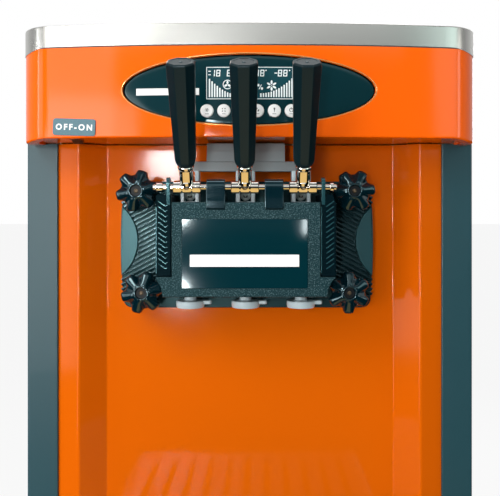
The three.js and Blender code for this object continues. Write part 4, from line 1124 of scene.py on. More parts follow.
@dataclass
class Display:
    """The oval glass with its screen, its marks and its six keys."""

    shop: Workshop
    bow: Bow
    oval: Triple
    sink: float = 4.5
    screen: tuple[float, float, float, float] = (-48.7, 50.0, 1233.3, 1270.0)
    screen_line: float = 0.75
    stripe: tuple[float, float, float, float] = (-129.3, -57.0, 1238.3, 1246.0)
    key_gap: float = 0.35
    figure_foot: float = 1259.2
    figure_size: Pair = (4.6, 7.6)
    figure_line: float = 1.05
    figure_slant: float = 0.08
    fan: Triple = (-24.6, 1250.0, 5.4)
    flake: Pair = (25.6, 1248.8)
    bar_pitch: float = 2.95
    bar_width: float = 1.6
    marks: list[np.ndarray] = field(default_factory=list)

    def build(self) -> None:
        """Makes the glass, the screen's marks, the stripe and the keys."""
        a, b, z = self.oval
        share = np.concatenate([np.linspace(0.001, 0.98, 16), [0.995, 1.0]])
        level = self.sink + np.concatenate([np.zeros(16), [0.25, 0.9]])
        front = [self.bow.lift(ring(0, z, a * s, b * s, 128), d) for s, d in zip(share, level)]
        back = [self.bow.lift(ring(0, z, a * s, b * s, 128), self.sink + 4) for s in (1.0, 0.5, 0.001)]
        glass = Form().rings(np.stack(front + back))
        self.shop.piece("display_glass", glass, GLASS, "display_panel", ["display_panel"], self.key_holes())
        self.window()
        self.digits()
        self.icons()
        self.bars()
        self.decals("screen_marks", self.marks, MARK, 0.32)
        x0, x1, z0, z1 = self.stripe
        self.decals("glass_stripe", strips(np.linspace(x0, x1, 10), z0, z1), STRIPE, 0.2)
        self.keys()

    def key_holes(self) -> list[Form]:
        """Makes the round holes in the glass that the keys travel in.

        Returns:
            A round cutter for each key, wider all round by the keys' gap.
        """
        holes = []
        for number in range(1, 7):
            node = f"key_{number}"
            x, _, z = middle(node)
            seat = (x, corners(node)[0][1] - 10, z)
            holes.append(Form().bar(seat, (0, 1, 0), extent(node)[0] / 2 + self.key_gap, 40))
        return holes

    def decals(self, name: str, shapes: list[np.ndarray], finish: Finish, proud: float) -> None:
        """Makes thin plates of outlines laid on the bowed glass.

        Args:
            name: the piece's name.
            shapes: outlines (x, z).
            finish: what they are made of.
            proud: how far they stand out of the glass.
        """
        form = Form()
        for shape in shapes:
            form.stack(shape, [(0, self.sink + 0.2), (0, self.sink - proud)], self.bow.lift)
        self.shop.piece(name, form, finish, "display_panel")

    def window(self) -> None:
        """The screen's pane and the thin line round it."""
        x0, x1, z0, z1 = self.screen
        columns = np.linspace(x0, x1, 13)
        self.decals("screen_pane", strips(columns, z0, z1), SCREEN, 0.15)
        line = self.screen_line
        self.marks += [box_outline(x0, x0 + line, z0, z1), box_outline(x1 - line, x1, z0, z1)]
        for lower, upper in zip(strips(columns, z0, z0 + line), strips(columns, z1 - line, z1)):
            self.marks += [lower, upper]

    def digits(self) -> None:
        """Seven-segment figures: each segment is a bar between two of a figure's six corners."""
        segments = {"8": "abcdefg", "1": "bc", "-": "g"}
        (width, height), line = self.figure_size, self.figure_line
        half = height / 2
        places = {
            "a": (0.4, width - 0.4, height - line, height),
            "b": (width - line, width, half + 0.2, height - 0.2),
            "c": (width - line, width, 0.2, half - 0.2),
            "d": (0.4, width - 0.4, 0, line),
            "e": (0, line, 0.2, half - 0.2),
            "f": (0, line, half + 0.2, height - 0.2),
            "g": (0.6, width - 0.6, half - line / 2, half + line / 2),
        }
        foot = self.figure_foot
        for text, start in (("18", -43.8), ("88", -25.5), ("88", 6.3), ("-88", 26.5)):
            for step, figure in enumerate(text):
                x = start + step * (width + 1.5) + (1.5 if figure == "-" else 0)
                for key in segments[figure]:
                    u0, u1, v0, v1 = places[key]
                    slant = self.figure_slant * np.array([[v0, 0], [v0, 0], [v1, 0], [v1, 0]])
                    self.marks.append(box_outline(x + u0, x + u1, foot + v0, foot + v1) + slant)
        for x in (19.2, 46.0):
            self.marks.append(ring(x, 1266.0, 0.8, 0.8, 10))
        self.marks += [box_outline(-46.4, -43.6, z, z + 1.0) for z in (1260.6, 1264.6)]

    def icons(self) -> None:
        """A fan in a circle, a percent sign and a snowflake of six petals."""
        x, z, radius = self.fan
        angle = np.radians(np.arange(0, 361, 15))
        for p, q in zip(angle[:-1], angle[1:]):
            outer = [(x + r * math.cos(t), z + r * math.sin(t)) for r, t in
                     ((radius - 0.9, p), (radius, p), (radius, q), (radius - 0.9, q))]
            self.marks.append(np.array(outer))
        for turn in (90, 210, 330):
            self.marks.append(self.petal(x, z, turn, 0.3, radius - 1.2, 1.2))
        for turn in range(0, 360, 60):
            self.marks.append(self.petal(*self.flake, turn + 30, 1.4, 6.1, 1.15))
        self.marks.append(ring(*self.flake, 0.55, 0.55, 8))
        self.marks += [ring(10.6, 1249.2, 1.3, 1.6, 12), ring(14.6, 1245.4, 1.3, 1.6, 12)]
        self.marks.append(np.array([(10.8, 1244.6), (11.8, 1244.6), (14.6, 1249.9), (13.6, 1249.9)]))

    @staticmethod
    def petal(x: float, z: float, turn: float, start: float, end: float, half: float) -> np.ndarray:
        """A slim oval that points away from a centre.

        Args:
            x: the centre's x.
            z: the centre's z.
            turn: its direction in degrees.
            start: where it starts, from the centre.
            end: where it ends.
            half: half its width.

        Returns:
            The outline (x, z).
        """
        shape = ring((start + end) / 2, 0, (end - start) / 2, half, 12)
        c, s = math.cos(math.radians(turn)), math.sin(math.radians(turn))
        return np.stack([x + shape[:, 0] * c - shape[:, 1] * s, z + shape[:, 0] * s + shape[:, 1] * c], 1)

    def bars(self) -> None:
        """Two rows of bars whose heights fall towards the middle as a smooth curve."""
        foot = self.screen[2] + 2.4
        left = [(-45.9, step, 3.8 + 17.0 * ((9 - step) / 9) ** 1.6) for step in range(10)]
        right = [(12.6, step, 4.2 + 17.2 * (step / 12) ** 2.0) for step in range(13)]
        for start, step, height in left + right:
            x = start + step * self.bar_pitch
            self.marks.append(box_outline(x, x + self.bar_width, foot, foot + height))

    def keys(self) -> None:
        """Domed keys: a turned cap each, with a small ink icon and a line under it."""
        for number in range(1, 7):
            node = f"key_{number}"
            low, _ = corners(node)
            x, _, z = middle(node)
            width, depth, _ = extent(node)
            radius = width / 2
            profile = [
                (0, 0.0), (radius * 0.5, 0.03), (radius - 1.6, 0.16), (radius - 0.7, 0.4),
                (radius - 0.15, 0.85), (radius, 1.4), (radius, depth), (0, depth),
            ]
            cap = Form().turned((x, low[1], z), (0, 1, 0), profile, 48)
            self.shop.piece(f"key_cap_{number}", cap, KEY, node, [node])
            ink = Form()
            for shape in self.glyph(number, x, z):
                ink.slab(shape, low[1] - 0.12, low[1] + 0.5, lift=along_y)
            self.shop.piece(f"key_icon_{number}", ink, ICON, node)

    def glyph(self, number: int, x: float, z: float) -> list[np.ndarray]:
        """Plain symbols: flake, cross, fan, two leaves, exclamation mark and ring, each over a line.

        Args:
            number: the key's, from 1 to 6.
            x: the key's middle.
            z: the key's middle.

        Returns:
            The symbol's outlines (x, z).
        """
        shapes = [box_outline(x - 2.2, x + 2.2, z - 3.9, z - 3.4)]
        top = z + 0.8
        rays = {
            1: (range(0, 360, 60), 0.2, 2.6, 0.35), 2: (range(45, 360, 90), 1.2, 2.8, 0.6),
            3: (range(90, 360, 120), 0.2, 2.7, 0.8), 6: (range(-60, 241, 30), 1.6, 2.4, 0.75),
        }
        if number in rays:
            turns, start, end, half = rays[number]
            shapes += [self.petal(x, top, turn, start, end, half) for turn in turns]
        if number == 4:
            shapes.append(self.petal(x - 1.0, top + 1.0, 60, -1.4, 1.6, 0.7))
            shapes.append(self.petal(x + 1.0, top - 0.6, 60, -1.6, 1.4, 0.7))
        if number == 5:
            wedge = [(-0.35, -1.2), (0.35, -1.2), (1.0, 2.4), (-1.0, 2.4)]
            shapes.append(np.array([(x + across, top + up) for across, up in wedge]))
            shapes.append(ring(x, top - 2.1, 0.5, 0.5, 10))
        if number == 6:
            shapes.append(box_outline(x - 0.3, x + 0.3, top + 0.4, top + 2.8))
        return shapes


@dataclass
class Switch:
    """The rocker under the hood's edge, and its lettered plate."""

    shop: Workshop
    width: float = 51.0
    height: float = 19.4
    tilt: float = 2.4
    hood_arc: float = 1595.7
    letter_height: float = 9.3
    letter_depth: float = 0.12
    letter_weight: float = 0.32
    letter_spacing: float = 1.42

    def build(self) -> None:
        """Makes the plate with its plain OFF-ON lettering, and dresses the rocker."""
        self.shop.dress("power_switch", BLACK)
        plate = self.shop.nodes["switch_plate"].data
        co = np.array([v.co[:] for v in plate.vertices]) / MM
        low, high = corners("switch_plate")
        centre = (low + high) / 2
        slope = math.asin(-centre[0] / self.hood_arc)
        along = np.array([math.cos(slope), -math.sin(slope)])
        out = np.array([-math.sin(slope), -math.cos(slope)])
        reach = (co[:, :2] - centre[:2]) @ out
        face = float(reach.max())
        z, tilt = centre[2], math.radians(self.tilt)  # the plate sits a little askew

        def seat(part: np.ndarray) -> np.ndarray:
            """Turns a part drawn flat at y = 0 to the plate's slope on the hood, and tilts it.

            Args:
                part: places of points, (x, y, z).

            Returns:
                Their places on the hood.
            """
            across = part[:, :1] * math.cos(tilt) + (part[:, 2:3] - z) * math.sin(tilt)
            level = z + (part[:, 2:3] - z) * math.cos(tilt) - part[:, :1] * math.sin(tilt)
            flat = centre[:2] + across * along - (part[:, 1:2] - face) * out
            return np.concatenate([flat, level], 1)

        outline = rounded(0, z, self.width, self.height, 3.2)
        form = Form().stack(outline, softened(0.0, 1.0, 0.35, 0.0, 3), along_y).moved(seat)
        self.shop.piece("switch_plate_enamel", form, SLATE, "switch_plate", ["switch_plate"])
        self.letters(z, seat)

    def letters(self, z: float, seat: Callable[[np.ndarray], np.ndarray]) -> None:
        """The raised letters: centred, laid flat on the plate and seated with it.

        Args:
            z: height of the plate's middle.
            seat: turns a flat part to the plate's place.
        """
        curve = bpy.data.curves.new("lettering", "FONT")
        curve.body = "OFF-ON"
        curve.size, curve.extrude = self.letter_height, self.letter_depth
        curve.offset, curve.space_character = self.letter_weight, self.letter_spacing
        curve.align_x, curve.align_y = "CENTER", "CENTER"
        curve.resolution_u = 4
        text = bpy.data.objects.new("lettering", curve)
        bpy.context.scene.collection.objects.link(text)
        data = bpy.data.meshes.new_from_object(text.evaluated_get(bpy.context.evaluated_depsgraph_get()))
        bpy.data.objects.remove(text)
        flat = np.zeros(len(data.vertices) * 3)
        data.vertices.foreach_get("co", flat)
        flat = flat.reshape(-1, 3)
        flat[:, 0] -= (flat[:, 0].max() + flat[:, 0].min()) / 2
        flat[:, 1] -= (flat[:, 1].max() + flat[:, 1].min()) / 2
        placed = seat(np.stack([flat[:, 0], -flat[:, 2] - 0.02, flat[:, 1] + z], 1)) * MM
        data.vertices.foreach_set("co", placed.ravel())
        data.name = "switch_letters"
        made = bpy.data.objects.new("switch_letters", data)
        bpy.context.scene.collection.objects.link(made)
        data.materials.clear()
        data.materials.append(STRIPE.material(self.shop.effects))
        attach(made, "cabinet")
        LOG.info("piece switch_letters: %d faces", len(data.polygons))


# ---- dispensing head


@dataclass
class Dispenser:
    """The black dispensing head: block, wings, ribs, cheeks, lugs and label, and the bracket above."""

    shop: Workshop
    centre: float = -4.5
    middle_z: float = 1065.0
    block: tuple[float, float, float, float] = (-104.0, 97.4, 1010.0, 1116.0)
    face: float = -321.0
    flange_front: float = -246.0
    flange_back: float = -209.0
    cheek_width: float = 17.0
    cheek_foot: float = 1032.5
    pocket: float = 29.0
    bore: float = 15.1
    recess: Pair = (140.6, 77.6)
    recess_z: float = 1058.5
    stripe: Pair = (121.4, 13.4)
    stripe_z: float = 1050.8
    hook_pitch: float = 5.8
    hooks: int = 13
    ear: Triple = (-314.0, 1136.0, 7.6)
    lug_place: float = 32.5
    lug_half: float = 10.5
    lug_round: float = 9.2
    flange_half: float = 149.5
    flange_height: float = 70.0
    flange_corner: float = 10.0
    flange_corner_z: float = 67.0
    plate_span: Pair = (-36.5, 46.5)
    bulge: float = 3.0
    arc_place: float = 152.0
    arc_half: float = 43.0
    arc_depth: float = 21.0
    ribs_made: int = 25
    rib_start: float = 151.5
    rib_foot: float = -78.0
    rib_span: Pair = (-64.0, 66.0)
    rib_pitch: float = 5.85
    rib_tilt: float = 28.0
    bracket_half: float = 47.2
    bracket_lip_half: float = 62.4
    bracket_sheet: float = 2.0

    def build(self) -> None:
        """Makes each part of the head."""
        self.body()
        self.cheeks()
        self.wings()
        self.lugs()
        self.label()
        self.bracket()

    def knob_places(self) -> list[Pair]:
        """Centres of the four star knobs, from their CAD boxes."""
        centres = [middle(f"knob_{number}") for number in range(1, 5)]
        return [(float(centre[0]), float(centre[2])) for centre in centres]

    def pockets(self, start: float, depth: float, sign: int = 0) -> list[Form]:
        """Makes the round pockets that the star knobs stand in.

        Args:
            start: y where each pocket starts.
            depth: how far back it runs.
            sign: -1 or 1 for the two on the left or right alone.

        Returns:
            A round cutter for each knob.
        """
        places = [(x, z) for x, z in self.knob_places() if not sign or x * sign > 0]
        return [Form().bar((x, start, z), (0, 1, 0), self.pocket, depth) for x, z in places]

    def body(self) -> None:
        """The block: a slab with rounded front edges, cut for the knobs, cheeks, label and pistons."""
        x0, x1, z0, z1 = self.block
        node = "dispenser_body"
        outline = rounded((x0 + x1) / 2, (z0 + z1) / 2, x1 - x0, z1 - z0, 3.0, 4)
        profile = [(0.0, self.flange_front + 2), *softened(self.face, self.face + 30, 1.3, 0.0, 5)[5::-1]]
        form = Form().stack(outline, profile, along_y)
        cutters = self.pockets(self.face - 10, 90)
        for sign, edge in ((-1, x0), (1, x1)):
            inner = edge - sign * (self.cheek_width + 1.2)
            u0, u1 = sorted((inner, edge + sign * 5))
            gap = box_outline(u0, u1, self.cheek_foot, z1 + 10)
            cutters.append(Form().slab(gap, self.face - 5, self.flange_front + 6, lift=along_y))
        recess = rounded(self.centre, self.recess_z, *self.recess, 1.5)
        cutters.append(Form().slab(recess, self.face - 5, self.face + 0.5, lift=along_y))
        self.shop.piece("dispenser_block", form, MOULDED, node, [node], cutters + self.barrels(), bevel=0.7)
        spouts = Form()
        lip = [(12.5, 0), (12.5, 2.6), (11.2, 3.8), (7.3, 3.8), (7.3, 0)]
        for number in range(1, 4):
            x, y, _ = (float(v) for v in middle(f"valve_piston_{number}"))
            spouts.turned((x, y, z0 + 2), (0, 0, -1), lip, 36)
        self.shop.piece("dispenser_spouts", spouts, BLACK, node)
        inside = box_outline(x0 + 6, x1 - 6, z0 + 3, z1 - 4)
        base = Form().slab(inside, self.face + 18, self.flange_front + 4, lift=along_y)
        holes = self.pockets(self.face - 10, 90) + self.barrels()
        self.shop.piece("dispenser_core", base, BLACK, node, cutters=holes)

    def barrels(self) -> list[Form]:
        """Makes the three upright bores that the pistons slide in.

        Returns:
            A round cutter each, 0.4 mm wider all round than the piston's body.
        """
        made = []
        for number in range(1, 4):
            node = f"valve_piston_{number}"
            foot = corners(node)[0][2]
            place = (*middle(node)[:2], foot - 0.5)
            made.append(Form().bar(place, (0, 0, 1), self.bore, self.block[3] + 20 - foot))
        return made

    def cheeks(self) -> None:
        """Side cheeks a little behind the block's face, with raised slanted lines, hooked on the left."""
        x0, x1, _, z1 = self.block
        for side, sign, edge in (("left", -1, x0), ("right", 1, x1)):
            inner = edge - sign * self.cheek_width
            u0, u1 = sorted((inner, edge))
            front, back = self.face + 3.2, self.flange_front
            top = z1 + 8.5
            outline = box_outline(u0, u1, self.cheek_foot + 0.5, top)
            form = Form().slab(outline, front, back + 5, 0.8, along_y)
            ear = u0 + 0.6 if sign > 0 else u1 - 5.1
            side_view = np.concatenate([
                [(back, z1 - 6), (front + 0.5, z1 - 6)], arc(*self.ear, 180, 0, 10), [(back, z1 + 4)],
            ])
            plate = Form().slab(side_view[::-1], ear, ear + 4.2, 0.6, along_x)
            lip = box_outline(u0 - 0.2, u0 + 1.2, self.cheek_foot + 4, top - 14)
            plate.slab(lip, front - 0.9, front + 6, 0.4, along_y)
            # The ear plate and the lip wear the lighter moulding: painted highlight.
            self.shop.piece(f"cheek_plate_{side}", plate, RIDGE_LIT, "dispenser_body")
            pockets = self.pockets(front - 30, 120, sign)
            self.shop.piece(f"cheek_{side}", form, CHEEK, "dispenser_body", cutters=pockets)
            marks = Form()
            for step in range(self.hooks):
                z = self.cheek_foot + 8.5 + step * self.hook_pitch
                path = [(inner + sign * 14.6, z + 6.0), (inner + sign * 6.2, z)]
                if sign < 0:
                    path.append((inner + sign * 3.9, z + 1.7))
                outline = ribbon(np.array(path), -sign * 0.85)
                marks.stack(outline, [(0.1, front + 0.2), (0.05, front - 0.3), (-0.15, front - 0.6)], along_y)
            self.shop.piece(f"cheek_lines_{side}", marks, RIDGE_LIT, "dispenser_body")

    def skew(self, sign: int) -> float:
        """How much further out the right side stands than the left."""
        return self.block[0] + self.block[1] - 2 * self.centre if sign > 0 else 0.0

    def arc_edge(self, z: np.ndarray) -> np.ndarray:
        """How far from the head's middle the concave edge of a wing's plate stands at a height.

        It is a circle's arc that comes in between the knobs: arc_depth deep at its middle.

        Args:
            z: heights.

        Returns:
            A distance for each height.
        """
        half, depth = self.arc_half, self.arc_depth
        radius = (half**2 + depth**2) / (2 * depth)
        reach = np.clip(z - self.middle_z - 5.0, -half, half)  # its middle stands a little high
        return self.arc_place - (np.sqrt(radius**2 - reach**2) - (radius - depth))

    def wings(self) -> None:
        """The flange with slightly bulging ends, smooth outer plates and slanted ribs.

        A wing's plate is the part outside a concave arc. The ribs run at a tilt from that arc
        to the block's side.
        """
        t = np.linspace(-1, 1, 25)
        half = self.flange_half + self.bulge * (1 - t**2)
        z = self.middle_z + t * self.flange_height
        far = self.centre + self.skew(1)
        right = np.stack([far + half, z], 1)
        left = np.stack([self.centre - half, z], 1)[::-1]
        small = self.flange_corner
        x0, x1 = self.centre - (self.flange_half - small), far + (self.flange_half - small)
        z0, z1 = self.middle_z - self.flange_corner_z, self.middle_z + self.flange_corner_z
        outline = np.concatenate([
            right, arc(x1, z1, small, 10, 90, 5), arc(x0, z1, small, 90, 170, 5),
            left, arc(x0, z0, small, 190, 270, 5), arc(x1, z0, small, 270, 350, 5),
        ])
        back = Form().stack(outline, softened(self.flange_front + 5, self.flange_back, 0.8, 0.5), along_y)
        self.shop.piece("dispenser_flange", back, BLACK, "dispenser_body")
        for side, sign in (("left", -1), ("right", 1)):
            zs = np.linspace(self.middle_z + self.plate_span[0], self.middle_z + self.plate_span[1], 40)
            base = self.centre + self.skew(sign)
            inner = np.stack([base + sign * self.arc_edge(zs), zs], 1)
            share = (zs - self.middle_z) / self.flange_height
            edge = self.flange_half - 0.2 + self.bulge * (1 - share**2)
            outer = np.stack([base + sign * edge, zs], 1)[::-1]
            plate = np.concatenate([inner, outer])[::-sign]
            profile = softened(self.flange_front, self.flange_front + 8, 1.0, 0.0, 3)
            form = Form().stack(plate, profile, along_y)
            # The plates wear the lighter moulding: painted light.
            self.shop.piece(f"wing_plate_{side}", form, WING_LIT, "dispenser_body")
            self.ribs(side, sign)

    def ribs(self, side: str, sign: int) -> None:
        """The slanted ribs of one wing: flat-topped bars from the block's side to the arc.

        Each rib's middle line is foot + (start - u) * tan(tilt), cut off where it meets the arc
        and near the flange's ends, and its section is a low trapezium with softened shoulders.

        Args:
            side: left or right.
            sign: -1 for the left, 1 for the right.
        """
        form = Form()
        turn = math.radians(self.rib_tilt)
        block_half = self.centre - self.block[0]
        base = self.centre + self.skew(sign)
        section = [(-1.75, 0.0), (-1.65, 2.2), (-1.3, 2.9), (0.0, 3.3), (1.3, 2.9), (1.65, 2.2), (1.75, 0.0)]
        low, high = self.rib_span
        for step in range(self.ribs_made):
            foot = self.middle_z + self.rib_foot + step * self.rib_pitch
            u = np.linspace(block_half - 1, self.rib_start, 120)
            z = foot + (self.rib_start - u) * math.tan(turn)
            inside = (u <= self.arc_edge(z) - 0.4) & (z > self.middle_z + low) & (z < self.middle_z + high)
            if inside.sum() < 6:
                continue
            ends = [(u[inside][k], z[inside][k]) for k in (0, -1)]
            rows = [
                [(base + sign * (p + w * math.sin(turn)), self.flange_front + 5.2 - h, q + w * math.cos(turn))
                 for w, h in section]
                for p, q in ends
            ]
            form.rings(np.array(rows))
        self.shop.piece(f"wing_ribs_{side}", form, RIB, "dispenser_body", sharp=40)

    def lugs(self) -> None:
        """The two lugs round the rod: their side view is a round head over a stepped front."""
        low, high = corners("pivot_rod")
        _, y, z = middle("pivot_rod")
        top, face, back = self.block[3], self.face, self.flange_front
        side_view = np.concatenate([
            [(back, top - 6), (face + 1, top - 9.5), (face - 3, top - 6.5), (face - 3, top + 1)],
            [(face - 1.4, top + 4.5)],
            arc(y, z, self.lug_round, 195, 20, 16),
            [(-290, top + 9), (-262, top + 7), (back, top + 7)],
        ])[::-1]
        form = Form()
        for offset in (-self.lug_place, self.lug_place):
            x = self.centre + offset
            form.slab(side_view, x - self.lug_half, x + self.lug_half, 1.0, along_x)
        self.shop.piece("rod_lugs", form, KNOB, "dispenser_body", sharp=24)
        rod = Form().bar((low[0], y, z), (1, 0, 0), (high[2] - low[2]) / 2, high[0] - low[0], 1.0)
        self.shop.piece("pivot_rod_bar", rod, CHROME, "pivot_rod", ["pivot_rod"])
        collars = Form()
        for x0, x1 in ((low[0] + 3.5, self.centre - 92), (self.centre + 95, high[0] - 3.5)):
            collars.bar((x0, y, z), (1, 0, 0), 5.4, x1 - x0, 0.8)
        self.shop.piece("rod_end_collars", collars, CHROME, "pivot_rod")

    def label(self) -> None:
        """The bare gloss plate with one plain stripe."""
        low, high = corners("label_plate")
        x, _, z = middle("label_plate")
        width, _, height = high - low
        outline = rounded(x, z, width, height, 1.5)
        form = Form().stack(outline, softened(low[1], high[1], 0.4, 0.0, 3), along_y)
        self.shop.piece("label_gloss", form, LABEL, "label_plate", ["label_plate"])
        stripe = rounded(self.centre - 0.4, self.stripe_z, *self.stripe, 0.4, 2)
        bar = Form().slab(stripe, low[1] - 0.15, low[1] + 0.3, lift=along_y)
        self.shop.piece("label_stripe", bar, STRIPE, "label_plate")

    def bracket(self) -> None:
        """The bracket's bent sheets, each a folded side view carried across, with soft folds."""
        low, high = corners("switch_bracket")
        top, back = high[2], high[1]
        upper = fillet([(back, top), (-244, top), (-250, top - 11), (-254, top - 23)], 3.0, 4)
        lip = fillet([(back, top - 23), (-254, top - 23), (low[1], low[2])], 3.0, 4)
        form = Form()
        half, sheet = self.bracket_half, self.bracket_sheet
        for line, reach in ((upper, half), (lip, self.bracket_lip_half)):
            form.slab(ribbon(line, sheet), self.centre - reach, self.centre + reach, lift=along_x)
        cheek = np.array([
            (back, top - 1), (-244, top - 1), (-249.5, top - 11), (-253.5, top - 22.5), (back, top - 22.5),
        ])
        for x in (self.centre - half, self.centre + half - sheet):
            form.slab(cheek, x, x + sheet, lift=along_x)
        self.shop.piece("bracket_sheet", form, BRACKET_REFLECTION, "switch_bracket", ["switch_bracket"], sharp=50)


@dataclass
class Handles:
    """The three levers with their grips, and the pistons that they lift."""

    shop: Workshop
    pivot: Pair = (-314.0, 1132.5)
    lean: float = 28.0
    stem: float = 28.0
    grip_length: float = 116.3
    foot_width: float = 22.8
    head_width: float = 29.5
    tee_half: float = 15.5
    tee_flat: float = 6.4
    tee_slant: float = -35.0
    stem_flat: float = 6.6
    arm_aim: float = -12.0
    arm_length: float = 41.0
    ball: float = 6.0
    yoke_foot: float = 1112.0
    window_foot: float = 1116.98
    window_size: float = 14.0
    notch_foot: float = 1136.98

    def build(self) -> None:
        """Makes each lever and grip."""
        for number in range(1, 4):
            x = float(middle(f"valve_piston_{number}")[0])
            self.lever(number, x)
            self.grip(number, x)
            self.piston(number, x)

    def direction(self) -> np.ndarray:
        """The stem's direction at rest."""
        lean = math.radians(self.lean)
        return np.array([0.0, -math.sin(lean), math.cos(lean)])

    def lever(self, number: int, x: float) -> None:
        """A chrome lever: a turned tee on the rod, a turned stem with its collar, and the arm's ball.

        Args:
            number: the lever's, from the left.
            x: its middle.
        """
        node = f"lever_{number}"
        origin = np.array([x, *self.pivot])
        d = self.direction()
        tee = [
            (6.2, 0), (7, 0.8), (7, 8.9), (6.2, 9.6), (6.2, 10.4), (7, 11.1), (7, 19.9), (6.2, 20.6),
            (6.2, 21.4), (7, 22.1), (7, 30.2), (6.2, 31), (3.9, 31), (3.9, 0), (6.2, 0),
        ]
        slant = math.radians(self.tee_slant)
        below = np.array([0.0, -math.cos(slant), math.sin(slant)])
        front = -np.cross(d, [1.0, 0.0, 0.0])

        def flat(part: np.ndarray, normal: np.ndarray, level: float) -> np.ndarray:
            """Moves what stands past a level along a normal back to it, which leaves a flat there.

            Args:
                part: places of points.
                normal: the direction that the flat faces.
                level: how far from the pivot it is.

            Returns:
                The points' new places.
            """
            past = np.maximum((part - origin) @ normal - level, 0.0)
            return part - past[..., None] * normal

        form = Form().turned(origin - [self.tee_half, 0, 0], (1, 0, 0), tee, 48)
        form.moved(lambda part: flat(part, below, self.tee_flat))
        stem = [
            (0, -1.5), (4.5, -1), (6.6, 1.5), (7.5, 5), (7.8, 8), (7.8, 9), (7.8, 21.5), (7.4, 22.2),
            (7.4, 22.8), (8.6, 23.4), (9.0, 24.2), (9.0, 26.2), (8.4, 27), (7.0, 27.6), (4.5, 27.7),
            (4.5, 69), (0, 70),
        ]

        def faced(part: np.ndarray) -> np.ndarray:
            """Gives the stem its flat, only between its round foot and its collar.

            Args:
                part: places of points.

            Returns:
                The points' new places.
            """
            level = (part - origin) @ d
            shaft = (level > 8.5) & (level < 22.0)
            return np.where(shaft[..., None], flat(part, front, self.stem_flat), part)

        shaft = Form().turned(origin, d, stem, 48).moved(faced)
        aim = math.radians(self.arm_aim)
        arm = np.array([0.0, math.cos(aim), math.sin(aim)])
        reach, ball = self.arm_length, self.ball
        sphere = [(ball * math.sin(t), reach - ball * math.cos(t)) for t in np.linspace(0, math.pi, 13)]
        form.turned(origin, arm, [(2.5, 0), (2.5, reach - 3)], 20).turned(origin, arm, sphere, 28)
        self.shop.piece(f"lever_chrome_{number}", form, CHROME, node, [node], sharp=28)
        self.shop.piece(f"lever_stem_{number}", shaft, CHROME, node, sharp=28)
        seat = origin + d * 3.4 + front * 4.9
        dimple = [(3.4, -2.0), (3.4, 1.9), (2.9, 2.3), (2.3, 2.0), (1.5, 1.2), (0, 0.9)]
        screw = Form().turned(seat, front, dimple, 24)
        self.shop.piece(f"lever_set_screw_{number}", screw, STUD, node)

    def grip(self, number: int, x: float) -> None:
        """An eight-sided grip: octagons along the stem that widen from the chin to the bevelled head.

        Args:
            number: the grip's, from the left.
            x: its middle.
        """
        node = f"grip_{number}"
        d = self.direction()
        side, front = np.array([1.0, 0, 0]), np.cross(d, [1.0, 0, 0])
        long, wide = self.grip_length, self.head_width
        top = self.stem + long
        sections = [
            (17.6, 0.2), (21.0, 3.6), (self.foot_width, 7.5), (wide, long - 3.0), (wide - 0.8, long - 1.2),
            (wide - 3.6, long), (wide - 7.0, long - 0.1), (wide - 8.2, long - 0.9),
        ]
        angle = (np.arange(8) + 0.5) * math.pi / 4
        corner = np.stack([np.cos(angle), np.sin(angle)], 1) / math.cos(math.pi / 8)
        origin = np.array([x, *self.pivot])
        around = corner[:, :1] * side + corner[:, 1:] * front
        rows = [origin + d * (self.stem + level) + width / 2 * around for width, level in sections]
        form = Form().rings(np.stack(rows))
        self.shop.piece(f"grip_body_{number}", form, GRIP, node, [node], bevel=1.1, sharp=60)
        disc = [(0, 0.5), (1.8, 0.5), (2.0, 0.2), (2.0, -0.5), (0, -0.5)]
        gate = Form().turned(origin + d * (top - 0.9), d, disc, 20)
        self.shop.piece(f"grip_gate_{number}", gate, RIB, node)

    def piston(self, number: int, x: float) -> None:
        """A valve piston: a round body under a yoke with a window for the lever's ball.

        Args:
            number: the piston's, from the left.
            x: its middle.
        """
        node = f"valve_piston_{number}"
        low, high = corners(node)
        y = middle(node)[1]
        profile = [(0, 0), (13.9, 0), (14.7, 0.8), (14.7, 94), (14.0, 95), (0, 95)]
        body = Form().turned((x, y, low[2]), (0, 0, 1), profile, 44)
        yoke = Form().slab(rounded(x, y, 22.5, 18, 1.6, 3), self.yoke_foot, high[2])
        openings = ((self.window_foot, self.window_foot + self.window_size), (self.notch_foot, high[2] + 5))
        cutters = [Form().slab(box_outline(x - 6.5, x + 6.5, *span), y - 18, y + 18, lift=along_y)
                   for span in openings]
        self.shop.piece(f"piston_body_{number}", body, GREY, node)
        self.shop.piece(f"piston_yoke_{number}", yoke, GREY, node, [node], cutters, bevel=0.5)


